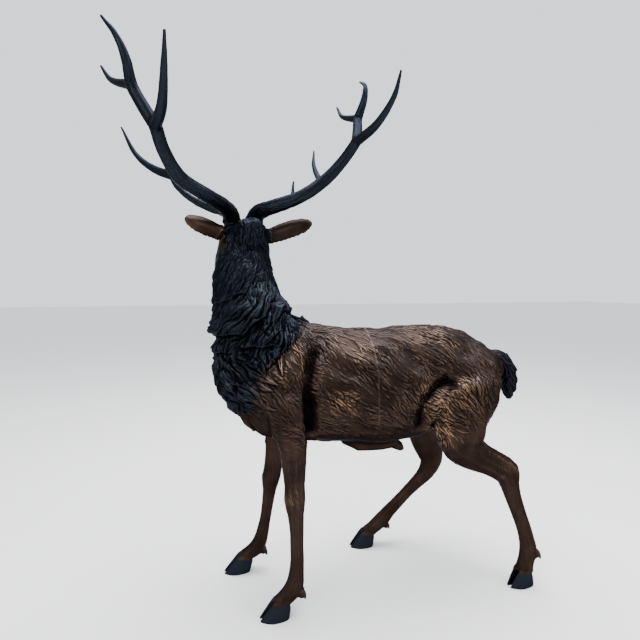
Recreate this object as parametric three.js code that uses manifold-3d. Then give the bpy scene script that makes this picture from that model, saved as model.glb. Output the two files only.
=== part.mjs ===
// A life-size standing red deer stag, cast in bronze: one hollow-cast body with its head turned to
// its right, and two antlers cast on their own and set on the stubs of the brow.
// Millimetres, +Z up. The stag faces -X, its left side is -Y, and z = 0 is the ground.
import * as THREE from "three";
import { mergeVertices } from "three/addons/utils/BufferGeometryUtils.js";
import Module from "manifold-3d";

const wasm = await Module();
wasm.setup();

// ---------------------------------------------------------------- driving dimensions

const SIZE = {
  shift: [92, 112, 0], // from the trunk's middle plane to the middle of the whole footprint
  soleLength: 114, // one hoof, both claws
  soleWidth: 76,
  cleft: 5, // the gap between the two claws at the ground
  coronet: 66, // height of the top edge of the hoof
  dewclaw: 15, // radius of the little claws behind the fetlock
  earThickness: 9,
  earCup: 22, // how deep the ear's leaf is hollowed
  eye: 17, // radius of the eyeball
  seatGap: 0.3, // between an antler and the seat in the brow that it stands on
  seatPlay: 3, // round the burr in its seat
  stubRadius: 35,
  stubDepth: 60,
  burr: 37, // radius of the rough ring at the foot of an antler
  burrHeight: 30,
};

// How finely the forms are cut: points round a section.
const CUT = { trunk: 24, neck: 20, head: 16, leg: 10, block: 14, ear: 12, tail: 10, antler: 8 };

// Where the head sits: the point midway between the two burrs, and how the skull is turned there.
const HEAD = { at: [-470, 103, 1594], yaw: 11, pitch: -20 };

const BRONZE = {
  body: { color: 0x3a2418, roughness: 0.5, metalness: 0.85 },
  antler: { color: 0x1d2127, roughness: 0.45, metalness: 0.85 },
};

// ---------------------------------------------------------------- sections
// A form is a row of sections from one end to the other. A section is
// [x, y, z, side, front, back, pinch]: its middle, how far it reaches to each side, to its front and
// to its back, and how much narrower it is in front than behind (0 is an even oval).

const TRUNK = [
  [-592, 0, 985, 24, 26, 24, 0],
  [-580, 0, 972, 72, 80, 62, 0],
  [-545, 0, 945, 110, 135, 115, 0.05],
  [-490, 0, 915, 138, 195, 160, 0.1],
  [-420, 0, 890, 156, 252, 196, 0.2],
  [-310, 0, 878, 170, 282, 216, 0.28],
  [-190, 0, 868, 182, 284, 214, 0.2],
  [-50, 0, 860, 195, 266, 216, 0.12],
  [100, 0, 860, 200, 265, 236, 0.08],
  [250, 0, 875, 190, 266, 243, 0.08],
  [400, 0, 900, 172, 233, 212, 0.1],
  [520, 0, 912, 148, 183, 168, 0.1],
  [620, 0, 925, 108, 117, 118, 0],
  [682, 0, 930, 66, 65, 70, 0],
  [708, 0, 930, 25, 25, 25, 0],
];

const SHEATH = [
  [-60, 0, 650, 30, 30, 24, 0],
  [10, 0, 622, 34, 30, 38, 0],
  [100, 0, 616, 32, 30, 38, 0],
  [170, 0, 612, 26, 30, 26, 0],
  [206, 0, 590, 15, 20, 22, 0],
  [222, 0, 572, 7, 9, 9, 0],
];

// The neck turns as it rises: front is the way its throat faces, from the breast to the jaw.
const NECK = [
  [-330, 0, 850, 120, 170, 150, 0],
  [-385, 0, 1000, 142, 200, 172, 0.05],
  [-408, 0, 1090, 146, 196, 165, 0.05],
  [-436, 4, 1165, 140, 170, 140, 0],
  [-456, 14, 1240, 135, 150, 118, 0],
  [-470, 30, 1310, 129, 134, 117, 0],
  [-477, 50, 1375, 121, 122, 116, 0],
  [-479, 68, 1430, 109, 118, 106, 0],
  [-474, 84, 1490, 99, 108, 98, 0],
  [-468, 94, 1540, 80, 84, 84, 0],
];
const NECK_TURN = [0, 0, 4, 10, 20, 34, 50, 66, 76, 79];

// The skull and muzzle, in the head's own frame: y forward along the muzzle, z up, x to its right.
const SKULL = [
  [0, -118, -108, 30, 28, 30, 0],
  [0, -95, -104, 58, 52, 60, 0],
  [0, -50, -106, 75, 80, 80, 0.05],
  [0, 5, -110, 80, 97, 90, 0],
  [0, 52, -118, 83, 90, 87, -0.08],
  [0, 95, -128, 70, 74, 80, -0.12],
  [0, 145, -139, 54, 58, 66, -0.12],
  [0, 205, -148, 44, 46, 51, -0.1],
  [0, 265, -155, 40, 41, 43, 0],
  [0, 315, -159, 41, 39, 38, 0.05],
  [0, 346, -162, 34, 31, 31, 0],
  [0, 360, -164, 15, 14, 14, 0],
];

// The right ear, root to tip: [x, y, z, half width].
const WIDEST_EAR = 45;
const EAR = [
  [58, 8, -86, 29],
  [98, -4, -78, 37],
  [145, -24, -69, 45],
  [190, -48, -62, 45],
  [228, -68, -58, 38],
  [252, -80, -55, 26],
  [264, -87, -54, 8],
];
// How each ear is held: turned forward about its root in degrees, made longer, and lowered.
const EARS = [
  { side: -1, forward: 6, longer: 0.94, lower: 2 },
  { side: 1, forward: -6, longer: 1.05, lower: 8 },
];

// Front limbs: the block of the shoulder and upper arm, then the leg to the coronet.
const SHOULDER = [
  [-262, 62, 1112, 30, 40, 40, 0],
  [-285, 88, 1050, 58, 78, 68, 0],
  [-325, 108, 960, 74, 112, 92, 0],
  [-340, 126, 870, 76, 108, 102, 0],
  [-330, 142, 790, 66, 88, 84, 0],
  [-320, 152, 725, 52, 70, 66, 0],
  [-314, 156, 690, 30, 42, 42, 0],
];
const FORELEG_NEAR = [
  [-326, -142, 812, 58, 84, 84, 0],
  [-316, -150, 750, 54, 72, 70, 0],
  [-312, -156, 672, 46, 58, 60, 0],
  [-311, -160, 595, 39, 49, 50, 0],
  [-309, -162, 530, 36, 43, 42, 0],
  [-306, -164, 474, 38, 43, 41, 0],
  [-305, -165, 412, 30, 34, 32, 0],
  [-303, -166, 336, 24, 27, 28, 0],
  [-303, -166, 234, 24, 26, 29, 0],
  [-307, -166, 170, 27, 29, 34, 0],
  [-318, -166, 118, 33, 36, 43, 0],
  [-343, -166, 86, 30, 34, 34, 0],
  [-364, -166, 60, 33, 39, 38, 0],
];
const FORELEG_FAR = [
  [-318, 142, 790, 56, 78, 78, 0],
  [-316, 150, 715, 52, 72, 68, 0],
  [-324, 156, 640, 44, 57, 56, 0],
  [-333, 161, 567, 38, 47, 46, 0],
  [-343, 166, 495, 36, 43, 41, 0],
  [-350, 170, 440, 37, 42, 41, 0],
  [-357, 175, 380, 29, 32, 30, 0],
  [-368, 180, 305, 24, 27, 27, 0],
  [-379, 185, 233, 23, 25, 26, 0],
  [-394, 189, 163, 26, 29, 32, 0],
  [-414, 192, 110, 32, 36, 41, 0],
  [-445, 192, 82, 30, 34, 34, 0],
  [-470, 192, 60, 33, 38, 38, 0],
];

// Hind limbs: the block of the rump and thigh, then the leg from the stifle to the coronet.
const THIGH_NEAR = [
  [490, -70, 1060, 34, 80, 60, 0],
  [488, -98, 985, 72, 140, 122, 0],
  [486, -118, 900, 88, 172, 147, 0],
  [472, -134, 810, 92, 176, 127, 0],
  [455, -146, 730, 86, 158, 91, 0],
  [440, -158, 660, 72, 124, 80, 0],
  [436, -164, 606, 50, 74, 60, 0],
  [440, -166, 580, 24, 34, 30, 0],
];
const HINDLEG_NEAR = [
  [372, -150, 690, 60, 74, 74, 0],
  [418, -160, 634, 70, 88, 88, 0],
  [468, -172, 592, 62, 74, 76, 0],
  [524, -182, 558, 50, 60, 66, 0],
  [580, -189, 528, 41, 56, 64, 0],
  [623, -195, 496, 38, 56, 64, 0],
  [638, -199, 446, 34, 44, 42, 0],
  [656, -204, 386, 29, 38, 37, 0],
  [678, -212, 316, 27, 33, 34, 0],
  [699, -219, 254, 26, 32, 33, 0],
  [714, -223, 192, 29, 34, 37, 0],
  [720, -224, 148, 34, 38, 42, 0],
  [712, -224, 110, 31, 35, 37, 0],
  [700, -224, 62, 33, 38, 41, 0],
];
const THIGH_FAR = [
  [490, 70, 1060, 34, 80, 70, 0],
  [475, 98, 985, 72, 140, 138, 0],
  [455, 120, 900, 90, 176, 186, 0],
  [430, 140, 810, 92, 176, 190, 0],
  [405, 158, 730, 84, 150, 164, 0],
  [398, 172, 660, 70, 112, 132, 0],
  [405, 182, 606, 50, 74, 86, 0],
  [410, 186, 580, 24, 36, 44, 0],
];
const HINDLEG_FAR = [
  [396, 172, 672, 62, 92, 92, 0],
  [424, 190, 595, 56, 88, 88, 0],
  [446, 205, 530, 47, 79, 78, 0],
  [468, 217, 470, 39, 66, 70, 0],
  [480, 226, 412, 36, 54, 62, 0],
  [454, 234, 350, 32, 43, 46, 0],
  [409, 241, 302, 28, 34, 35, 0],
  [363, 247, 257, 25, 30, 31, 0],
  [311, 252, 206, 25, 30, 31, 0],
  [262, 255, 160, 28, 33, 34, 0],
  [225, 255, 122, 33, 37, 41, 0],
  [183, 255, 88, 30, 34, 36, 0],
  [150, 255, 62, 33, 38, 40, 0],
];

const TAIL = [
  [612, 0, 972, 40, 44, 44, 0],
  [672, 0, 984, 40, 34, 36, 0],
  [721, 0, 966, 38, 31, 32, 0],
  [752, 0, 920, 38, 36, 33, 0],
  [764, 0, 864, 35, 36, 35, 0],
  [766, 0, 815, 26, 27, 29, 0],
  [764, 0, 777, 8, 8, 10, 0],
];

// Each foot: the middle of its sole, and which way its toe points, in degrees from straight ahead.
const FEET = [
  { at: [-395, -163], coronetAt: [-364, -166], toe: 0 },
  { at: [-511, 192], coronetAt: [-470, 192], toe: 0 },
  { at: [684, -222], coronetAt: [700, -224], toe: 4 },
  { at: [114, 255], coronetAt: [150, 255], toe: -4 },
];

// The dewclaws: behind and above each hoof, [x, y, z, spread].
const DEWCLAWS = [
  [-286, -166, 94, 17],
  [-388, 192, 88, 17],
  [752, -224, 137, 17],
  [246, 255, 96, 17],
];

// An antler's branches: the radius at each point, and the point of another branch that one starts
// from. The beam starts at its foot, where the burr stands on the brow.
const BRANCHES = [
  { name: "beam", radii: [34, 35, 34, 31, 26, 25, 22, 21] },
  { name: "brow", from: ["beam", 2], radii: [24, 17, 14, 10, 4] },
  { name: "tray", from: ["beam", 5], radii: [19, 14, 9.5, 3.5] },
  { name: "rear", from: ["beam", 7], radii: [20, 16, 10.5, 4] },
  { name: "front", from: ["beam", 7], radii: [21, 20, 19, 14.5, 9.5, 4] },
  { name: "lower", from: ["front", 2], radii: [17, 9.5, 4] },
];

// The two antlers are not alike: where each branch's points are.
const ANTLERS = {
  antler_left: {
    beam: [
      [-518, 113, 1571],
      [-521, 98, 1599],
      [-534, 70, 1614],
      [-558, 9, 1625],
      [-619, -101, 1642],
      [-717, -182, 1688],
      [-765, -262, 1755],
      [-785, -330, 1813],
    ],
    brow: [[-604, 100, 1630], [-683, 116, 1668], [-739, 116, 1714], [-760, 108, 1739]],
    tray: [[-811, -64, 1738], [-884, 21, 1811], [-935, 54, 1915]],
    rear: [[-759, -440, 1834], [-745, -539, 1899], [-738, -608, 1972]],
    front: [
      [-824, -307, 1880],
      [-855, -296, 1942],
      [-867, -330, 2009],
      [-891, -337, 2067],
      [-941, -283, 2147],
    ],
    lower: [[-932, -177, 1997], [-975, -100, 2070]],
  },
  antler_right: {
    beam: [
      [-426, 125, 1576],
      [-419, 115, 1604],
      [-405, 97, 1619],
      [-382, 66, 1628],
      [-250, 2, 1673],
      [-144, -6, 1746],
      [-74, -34, 1823],
      [-33, -77, 1889],
    ],
    brow: [[-366, 164, 1645], [-302, 218, 1667], [-234, 261, 1720], [-216, 296, 1798]],
    tray: [[-133, 141, 1784], [-126, 267, 1875], [-111, 321, 1952]],
    rear: [[15, -178, 1930], [50, -262, 2008], [54, -313, 2079]],
    front: [
      [-13, -32, 1955],
      [-1, -1, 2005],
      [17, -22, 2073],
      [27, -12, 2133],
      [31, 68, 2186],
    ],
    lower: [[-26, 144, 2061], [-24, 229, 2130]],
  },
};

// ---------------------------------------------------------------- geometry helpers

const vec = (p) => new THREE.Vector3(...p);

// The Catmull-Rom value between b and c at t, from 0 to 1, for numbers.
function between(a, b, c, d, t) {
  const bend = 2 * a - 5 * b + 4 * c - d;
  const twist = -a + 3 * b - 3 * c + d;
  return 0.5 * (2 * b + (c - a) * t + bend * t * t + twist * t * t * t);
}

// More rows between the given ones, on a smooth curve through every column.
function refine(rows, steps) {
  const row = (i) => rows[Math.min(Math.max(i, 0), rows.length - 1)];
  const fine = [];
  for (let i = 0; i < rows.length - 1; i++)
    for (let k = 0; k < steps; k++)
      fine.push(
        rows[i].map((_, j) =>
          between(row(i - 1)[j], row(i)[j], row(i + 1)[j], row(i + 2)[j], k / steps),
        ),
      );
  fine.push([...rows.at(-1)]);
  return fine;
}

// A closed skin over rings of equally many points, with a flat fan on each end.
function skin(rings) {
  const around = rings[0].length;
  const points = rings.flat();
  const faces = [];
  for (let i = 0; i < rings.length - 1; i++)
    for (let k = 0; k < around; k++) {
      const [a, b] = [i * around + k, i * around + ((k + 1) % around)];
      faces.push(a, b, b + around, a, b + around, a + around);
    }
  for (const [ring, flip] of [[0, true], [rings.length - 1, false]]) {
    const middle = points.length;
    points.push(rings[ring].reduce((s, p) => s.add(p), vec([0, 0, 0])).divideScalar(around));
    for (let k = 0; k < around; k++) {
      const [a, b] = [ring * around + k, ring * around + ((k + 1) % around)];
      faces.push(...(flip ? [b, a, middle] : [a, b, middle]));
    }
  }
  const geometry = new THREE.BufferGeometry().setFromPoints(points);
  return geometry.setIndex(faces);
}

// The direction of travel at each middle point of a path.
function tangents(middles) {
  return middles.map((_, i) => {
    const ahead = middles[Math.min(i + 1, middles.length - 1)];
    return ahead.clone().sub(middles[Math.max(i - 1, 0)]).normalize();
  });
}

// A form through hand-set sections. front(t) is the way a section's front faces, t from 0 to 1. The
// sections are square to the path, or to a fixed axis where one is given.
function form(sections, { around, steps = 1, front, axis }) {
  const rows = refine(sections, steps);
  const middles = rows.map((r) => vec(r));
  const along = axis ? middles.map(() => vec(axis)) : tangents(middles);
  const rings = rows.map((r, i) => {
    const [side, ahead, behind, pinch] = r.slice(3);
    const facing = front(i / (rows.length - 1));
    facing.addScaledVector(along[i], -facing.dot(along[i])).normalize();
    const across = along[i].clone().cross(facing);
    return Array.from({ length: around }, (_, k) => {
      const angle = (2 * Math.PI * k) / around;
      const rise = Math.sin(angle);
      const reach = rise > 0 ? ahead * rise : behind * rise;
      return middles[i]
        .clone()
        .addScaledVector(across, -side * (1 - pinch * rise) * Math.cos(angle))
        .addScaledVector(facing, reach);
    });
  });
  return skin(rings);
}

// A round tube along a smooth curve, its radius changing from point to point.
function tube(rows, around) {
  const fine = refine(rows, 2);
  const middles = fine.map((r) => vec(r));
  const along = tangents(middles);
  const normal = vec([0, 1, 0]);
  const rings = fine.map((r, i) => {
    normal.addScaledVector(along[i], -normal.dot(along[i])).normalize();
    const across = along[i].clone().cross(normal);
    return Array.from({ length: around }, (_, k) => {
      const angle = (2 * Math.PI * k) / around;
      return middles[i]
        .clone()
        .addScaledVector(normal, r[3] * Math.cos(angle))
        .addScaledVector(across, r[3] * Math.sin(angle));
    });
  });
  return skin(rings);
}

// A ball stretched to three radii.
function ball(at, radii, detail = 8) {
  const geometry = new THREE.SphereGeometry(1, detail, Math.round(detail * 0.6));
  return geometry.scale(...radii).translate(...at);
}

// The manifold solid of a closed geometry.
function solid(geometry) {
  const bare = geometry.clone();
  bare.deleteAttribute("normal");
  bare.deleteAttribute("uv");
  const merged = mergeVertices(bare, 1e-3);
  const made = new wasm.Manifold(
    new wasm.Mesh({
      numProp: 3,
      vertProperties: new Float32Array(merged.attributes.position.array),
      triVerts: new Uint32Array(merged.index.array),
    }),
  );
  if (made.volume() < 0) throw new Error("a form is inside out");
  return made;
}

// All the forms joined into one closed geometry, less the ones that are cut out of it.
function join(geometries, cuts = []) {
  const joined = geometries.map(solid).reduce((a, b) => a.add(b));
  const mesh = cuts.map(solid).reduce((a, b) => a.subtract(b), joined).getMesh();
  const geometry = new THREE.BufferGeometry();
  geometry.setAttribute("position", new THREE.BufferAttribute(mesh.vertProperties, 3));
  return geometry.setIndex(new THREE.BufferAttribute(mesh.triVerts, 1));
}

// The matrix of a frame that is turned by yaw from +Y towards -X, then pitched nose up, then rolled.
function turned({ yaw, pitch, roll = 0 }, at = [0, 0, 0]) {
  const deg = THREE.MathUtils.degToRad;
  return new THREE.Matrix4()
    .makeTranslation(...at)
    .multiply(new THREE.Matrix4().makeRotationZ(deg(yaw)))
    .multiply(new THREE.Matrix4().makeRotationX(deg(pitch)))
    .multiply(new THREE.Matrix4().makeRotationY(deg(roll)));
}

// The mirror image in x, with its faces turned round to point out again.
function mirror(geometry) {
  geometry.scale(-1, 1, 1);
  geometry.index.array.reverse();
  return geometry;
}

const mirrored = (rows, axis) => rows.map((r) => r.map((v, j) => (j === axis ? -v : v)));

// ---------------------------------------------------------------- the body

const ahead = () => vec([-1, 0, 0]);
const upward = () => vec([0, 0, 1]);

function trunkForms() {
  return [
    form(TRUNK, { around: CUT.trunk, front: upward, axis: [1, 0, 0] }),
    form(SHEATH, { around: CUT.tail, front: upward }),
    form(TAIL, { around: CUT.tail, front: (t) => vec([t, 0, 1 - t]) }),
  ];
}

function neckForm() {
  const throat = (t) => {
    const angle = THREE.MathUtils.degToRad(NECK_TURN[Math.round(t * (NECK.length - 1))]);
    return vec([-Math.cos(angle), Math.sin(angle), 0]);
  };
  return form(NECK, { around: CUT.neck, front: throat });
}

// An ear: a leaf, hollow in front. Its section is a crescent about a vertical edge line.
function earForm({ side, forward, longer, lower }) {
  const rows = refine(EAR, 1);
  const middles = rows.map((r) => vec(r));
  const along = tangents(middles);
  const rings = rows.map(([, , , wide], i) => {
    const edge = vec([0, 0, 1]).addScaledVector(along[i], -along[i].z).normalize();
    const front = along[i].clone().cross(edge).negate();
    const hollow = (SIZE.earCup * wide) / WIDEST_EAR;
    return Array.from({ length: CUT.ear }, (_, k) => {
      const angle = (2 * Math.PI * k) / CUT.ear;
      const rise = Math.cos(angle);
      const depth = -hollow * (1 - rise * rise) - SIZE.earThickness * Math.sin(angle);
      return middles[i].clone().addScaledVector(edge, wide * rise).addScaledVector(front, depth);
    });
  });
  const [rootX, rootY] = EAR[0];
  const ear = skin(rings).translate(-rootX, -rootY, -lower).scale(longer, 1, 1);
  ear.rotateZ(THREE.MathUtils.degToRad(forward)).translate(rootX, rootY, 0);
  return side < 0 ? mirror(ear) : ear;
}

function headForms() {
  const place = turned(HEAD, HEAD.at);
  const forms = [form(SKULL, { around: CUT.head, front: upward })];
  for (const side of [-1, 1]) {
    forms.push(ball([side * 68, 62, -96], [SIZE.eye, SIZE.eye * 1.3, SIZE.eye]));
  }
  forms.push(...EARS.map(earForm));
  return forms.map((f) => f.applyMatrix4(place));
}

// A solid of revolution about the line of an antler's foot, its profile [radius, height] in mm.
function footForm(antler, profile) {
  const [foot, above] = antler.beam.map(vec);
  const turn = new THREE.Quaternion();
  turn.setFromUnitVectors(vec([0, 1, 0]), above.clone().sub(foot).normalize());
  const outline = profile.map((p) => new THREE.Vector2(...p));
  const lathe = new THREE.LatheGeometry(outline, CUT.antler * 2);
  return lathe.applyQuaternion(turn).translate(...foot);
}

// The stub of the brow under an antler, and the seat that is cut for the antler's foot.
function stubForm(antler) {
  const [radius, depth] = [SIZE.stubRadius, SIZE.stubDepth];
  return footForm(antler, [[0, -depth], [radius, -depth], [radius, 1], [0, 1]]);
}

function seatForm(antler) {
  const [radius, height] = [SIZE.burr + SIZE.seatPlay, SIZE.stubDepth];
  return footForm(antler, [[0, -SIZE.seatGap], [radius, -SIZE.seatGap], [radius, height], [0, height]]);
}

function legForms() {
  const leg = { around: CUT.leg, steps: 2, front: ahead };
  const block = { around: CUT.block, front: ahead, axis: [0, 0, -1] };
  return [
    form(mirrored(SHOULDER, 1), block),
    form(SHOULDER, block),
    form(THIGH_NEAR, block),
    form(THIGH_FAR, block),
    form(FORELEG_NEAR, leg),
    form(FORELEG_FAR, leg),
    form(HINDLEG_NEAR, leg),
    form(HINDLEG_FAR, leg),
  ];
}

// One claw: level outlines from the flat sole up to the coronet, pointed at the toe.
function clawForm(foot, side) {
  const heights = [0, 0.45, 0.85, 1.15];
  const half = SIZE.soleLength / 2;
  const width = (SIZE.soleWidth - SIZE.cleft) / 4;
  const angle = THREE.MathUtils.degToRad(foot.toe);
  const rings = heights.map((h) => {
    const share = Math.min(h, 1);
    const x = THREE.MathUtils.lerp(foot.at[0], foot.coronetAt[0], share);
    const y = THREE.MathUtils.lerp(foot.at[1], foot.coronetAt[1], share);
    const [long, wide] = [half * (1 - 0.38 * share), width * (1.02 - 0.12 * share)];
    return Array.from({ length: CUT.leg }, (_, k) => {
      const turn = (2 * Math.PI * k) / CUT.leg;
      const forward = Math.cos(turn);
      const taper = 1 - 0.3 * Math.max(forward, 0) ** 2;
      const across = side * (width + SIZE.cleft / 2 - 2 * share) + wide * taper * Math.sin(turn);
      const spot = vec([-long * forward, across, h * SIZE.coronet]);
      return spot.applyAxisAngle(vec([0, 0, 1]), angle).add(vec([x, y, 0]));
    });
  });
  return skin(rings.reverse());
}

function hoofForms() {
  const forms = FEET.flatMap((foot) => [clawForm(foot, -1), clawForm(foot, 1)]);
  for (const [x, y, z, spread] of DEWCLAWS)
    for (const side of [-1, 1])
      forms.push(ball([x, y + side * spread, z], [SIZE.dewclaw, 13, 20], 6));
  return forms;
}

// ---------------------------------------------------------------- the antlers

// The burr: a rounded ring round the foot of the beam.
function burrForm(antler) {
  const profile = [[0, 0], [0.93, 0], [1, 0.25], [1, 0.55], [0.93, 0.85], [0.8, 1], [0, 1]];
  return footForm(antler, profile.map(([r, h]) => [r * SIZE.burr, h * SIZE.burrHeight]));
}

// A branch's points, from the one that it starts at on another branch to its tip.
function branchPoints(antler, name) {
  const { from } = BRANCHES.find((branch) => branch.name === name);
  const points = antler[name].map(vec);
  return from ? [branchPoints(antler, from[0])[from[1]], ...points] : points;
}

// A branch's tube. The beam's starts a little way up, inside the burr.
function branchForm(antler, { name, from, radii }) {
  const points = branchPoints(antler, name);
  if (!from) points[0].lerp(points[1], 0.4);
  return tube(points.map((p, i) => [...p, radii[i]]), CUT.antler);
}

function antlerGeometry(antler) {
  return join([burrForm(antler), ...BRANCHES.map((branch) => branchForm(antler, branch))]);
}

// ---------------------------------------------------------------- the model

function mesh(name, geometry, finish) {
  const made = new THREE.Mesh(geometry, new THREE.MeshStandardMaterial(finish));
  made.name = name;
  geometry.computeVertexNormals();
  return made;
}

const body = join(
  [
    ...trunkForms(),
    neckForm(),
    ...headForms(),
    ...legForms(),
    ...hoofForms(),
    ...Object.values(ANTLERS).map(stubForm),
  ],
  Object.values(ANTLERS).map(seatForm),
);

const model = new THREE.Group();
model.position.set(...SIZE.shift);
model.add(mesh("stag", body, BRONZE.body));
for (const [name, antler] of Object.entries(ANTLERS))
  model.add(mesh(name, antlerGeometry(antler), BRONZE.antler));

export default model;
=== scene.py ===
"""A life-size red deer stag in cast bronze: its fine surface, its patina and the studio round it.

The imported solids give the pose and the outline. Here each casting is made fine and even, its forms
are drawn together, and the muscles, the coat, the mane, the face and the grain of the antlers are
raised on it. Lengths are metres. The stag faces -X, its left side is -Y and +Z is up.
"""

import logging
import math
from dataclasses import dataclass, field, fields
from enum import Enum

import bmesh
import bpy
import numpy as np
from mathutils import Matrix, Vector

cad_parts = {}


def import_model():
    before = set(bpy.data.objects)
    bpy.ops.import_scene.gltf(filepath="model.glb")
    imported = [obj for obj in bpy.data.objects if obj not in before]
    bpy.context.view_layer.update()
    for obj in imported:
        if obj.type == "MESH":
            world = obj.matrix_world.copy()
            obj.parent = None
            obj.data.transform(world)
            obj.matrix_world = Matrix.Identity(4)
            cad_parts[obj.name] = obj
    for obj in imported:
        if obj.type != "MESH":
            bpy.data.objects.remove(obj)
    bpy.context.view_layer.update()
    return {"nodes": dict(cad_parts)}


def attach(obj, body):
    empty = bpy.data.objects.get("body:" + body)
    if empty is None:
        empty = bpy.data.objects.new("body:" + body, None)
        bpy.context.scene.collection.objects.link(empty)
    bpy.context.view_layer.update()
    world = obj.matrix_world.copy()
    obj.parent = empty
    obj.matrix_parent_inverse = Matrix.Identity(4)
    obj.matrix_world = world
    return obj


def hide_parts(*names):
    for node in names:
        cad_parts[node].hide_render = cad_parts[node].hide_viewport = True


Array = np.ndarray
Place = tuple[float, float, float]
Colour = tuple[float, float, float]
Table = tuple[tuple[float, ...], ...]
log = logging.getLogger("stag")

# from the stag's own frame, in which all its tables are written, to the row's frame
SHIFT = np.array([0.092, 0.112, 0.0])
MM_PER_M = 1000


class Slot(Enum):
    """The record's two finishes."""

    BROWN = "brown_bronze"
    DARK = "dark_bronze"


# ---------------------------------------------------------------- numbers over a surface


def fade(value: Array, low: float, high: float) -> Array:
    """A smooth step: 0 below low, 1 above high, and 3t^2 - 2t^3 between them."""
    t = np.clip((value - low) / (high - low), 0.0, 1.0)
    return t * t * (3.0 - 2.0 * t)


def bell(value: Array, middle: float, width: float) -> Array:
    """A bell curve: exp(-((value - middle) / width)^2)."""
    return np.exp(-(((value - middle) / width) ** 2))


def mix(first: Array, second: Array, share: Array) -> Array:
    """Rows that go from the first's to the second's by their share: a (1 - s) + b s."""
    share = share[:, None]
    return first * (1 - share) + second * share


def unit(vectors: Array) -> Array:
    """Each row divided by its own length."""
    return vectors / np.maximum(np.linalg.norm(vectors, axis=-1, keepdims=True), 1e-12)


def waves(points: Array, length: float, seed: int) -> Array:
    """A smooth random field between about -1 and 1.

    It is the mean of ten sine waves with random directions and phases, whose wavelengths lie round
    the given length, times a gain that fills the range.

    Args:
        points: places, one row each.
        length: the middle wavelength.
        seed: which random field.

    Returns:
        One number for each place.
    """
    draw = np.random.default_rng(seed)
    count, gain = 10, 2.2
    ways = unit(draw.normal(size=(count, 3)))
    turns = 2 * math.pi / (length * draw.uniform(0.7, 1.6, count))
    phases = draw.uniform(0, 2 * math.pi, count)
    return np.sin(points @ (ways * turns[:, None]).T + phases).mean(axis=1) * gain


def combed(points: Array, flow: Array, length: float, reach: float, seed: int) -> Array:
    """A random field drawn out into strands along the flow, of about unit spread.

    It is a sum of sine waves, each averaged over a straight stretch along the flow. That multiplies
    a wave of k turns by sinc(k . flow * reach / 2), so only waves square to the flow are left. The
    sum is divided by the root of half the sum of those factors squared.

    Args:
        points: places, one row each.
        flow: the unit direction of the strands at each place.
        length: the waves' middle length, which is about twice a strand's width.
        reach: how far a strand runs.
        seed: which random field.

    Returns:
        One number for each place.
    """
    draw = np.random.default_rng(seed)
    count, chunk = 140, 40_000
    turns = 2 * math.pi / (length * draw.uniform(0.75, 1.35, count))
    ways = (unit(draw.normal(size=(count, 3))) * turns[:, None]).T.astype(np.float32)
    phases = draw.uniform(0, 2 * math.pi, count).astype(np.float32)
    result = np.empty(len(points))
    for start in range(0, len(points), chunk):
        part = slice(start, start + chunk)
        kept = np.sinc(flow[part].astype(np.float32) @ ways * np.float32(reach / (2 * math.pi)))
        value = (np.sin(points[part].astype(np.float32) @ ways + phases) * kept).sum(axis=1)
        result[part] = value / np.sqrt(0.5 * (kept * kept).sum(axis=1) + 0.5)
    return result


def strands(points: Array, flow: Array, width: float, reach: float, seed: int) -> Array:
    """Rounded strands with sharp furrows between them, from 0 to about 1.

    Their height is min(|combed|, 1.6)^0.8 / 1.3, of waves twice as long as a strand is wide.
    """
    drawn = np.abs(combed(points, flow, 2 * width, reach, seed))
    return np.minimum(drawn, 1.6) ** 0.8 / 1.3


def turn_about(vectors: Array, axes: Array, angles: Array) -> Array:
    """Each vector turned about its unit axis, square to it: v cos(a) + (axis x v) sin(a)."""
    side = np.cross(axes, vectors)
    return vectors * np.cos(angles)[:, None] + side * np.sin(angles)[:, None]


# ---------------------------------------------------------------- surfaces


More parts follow.
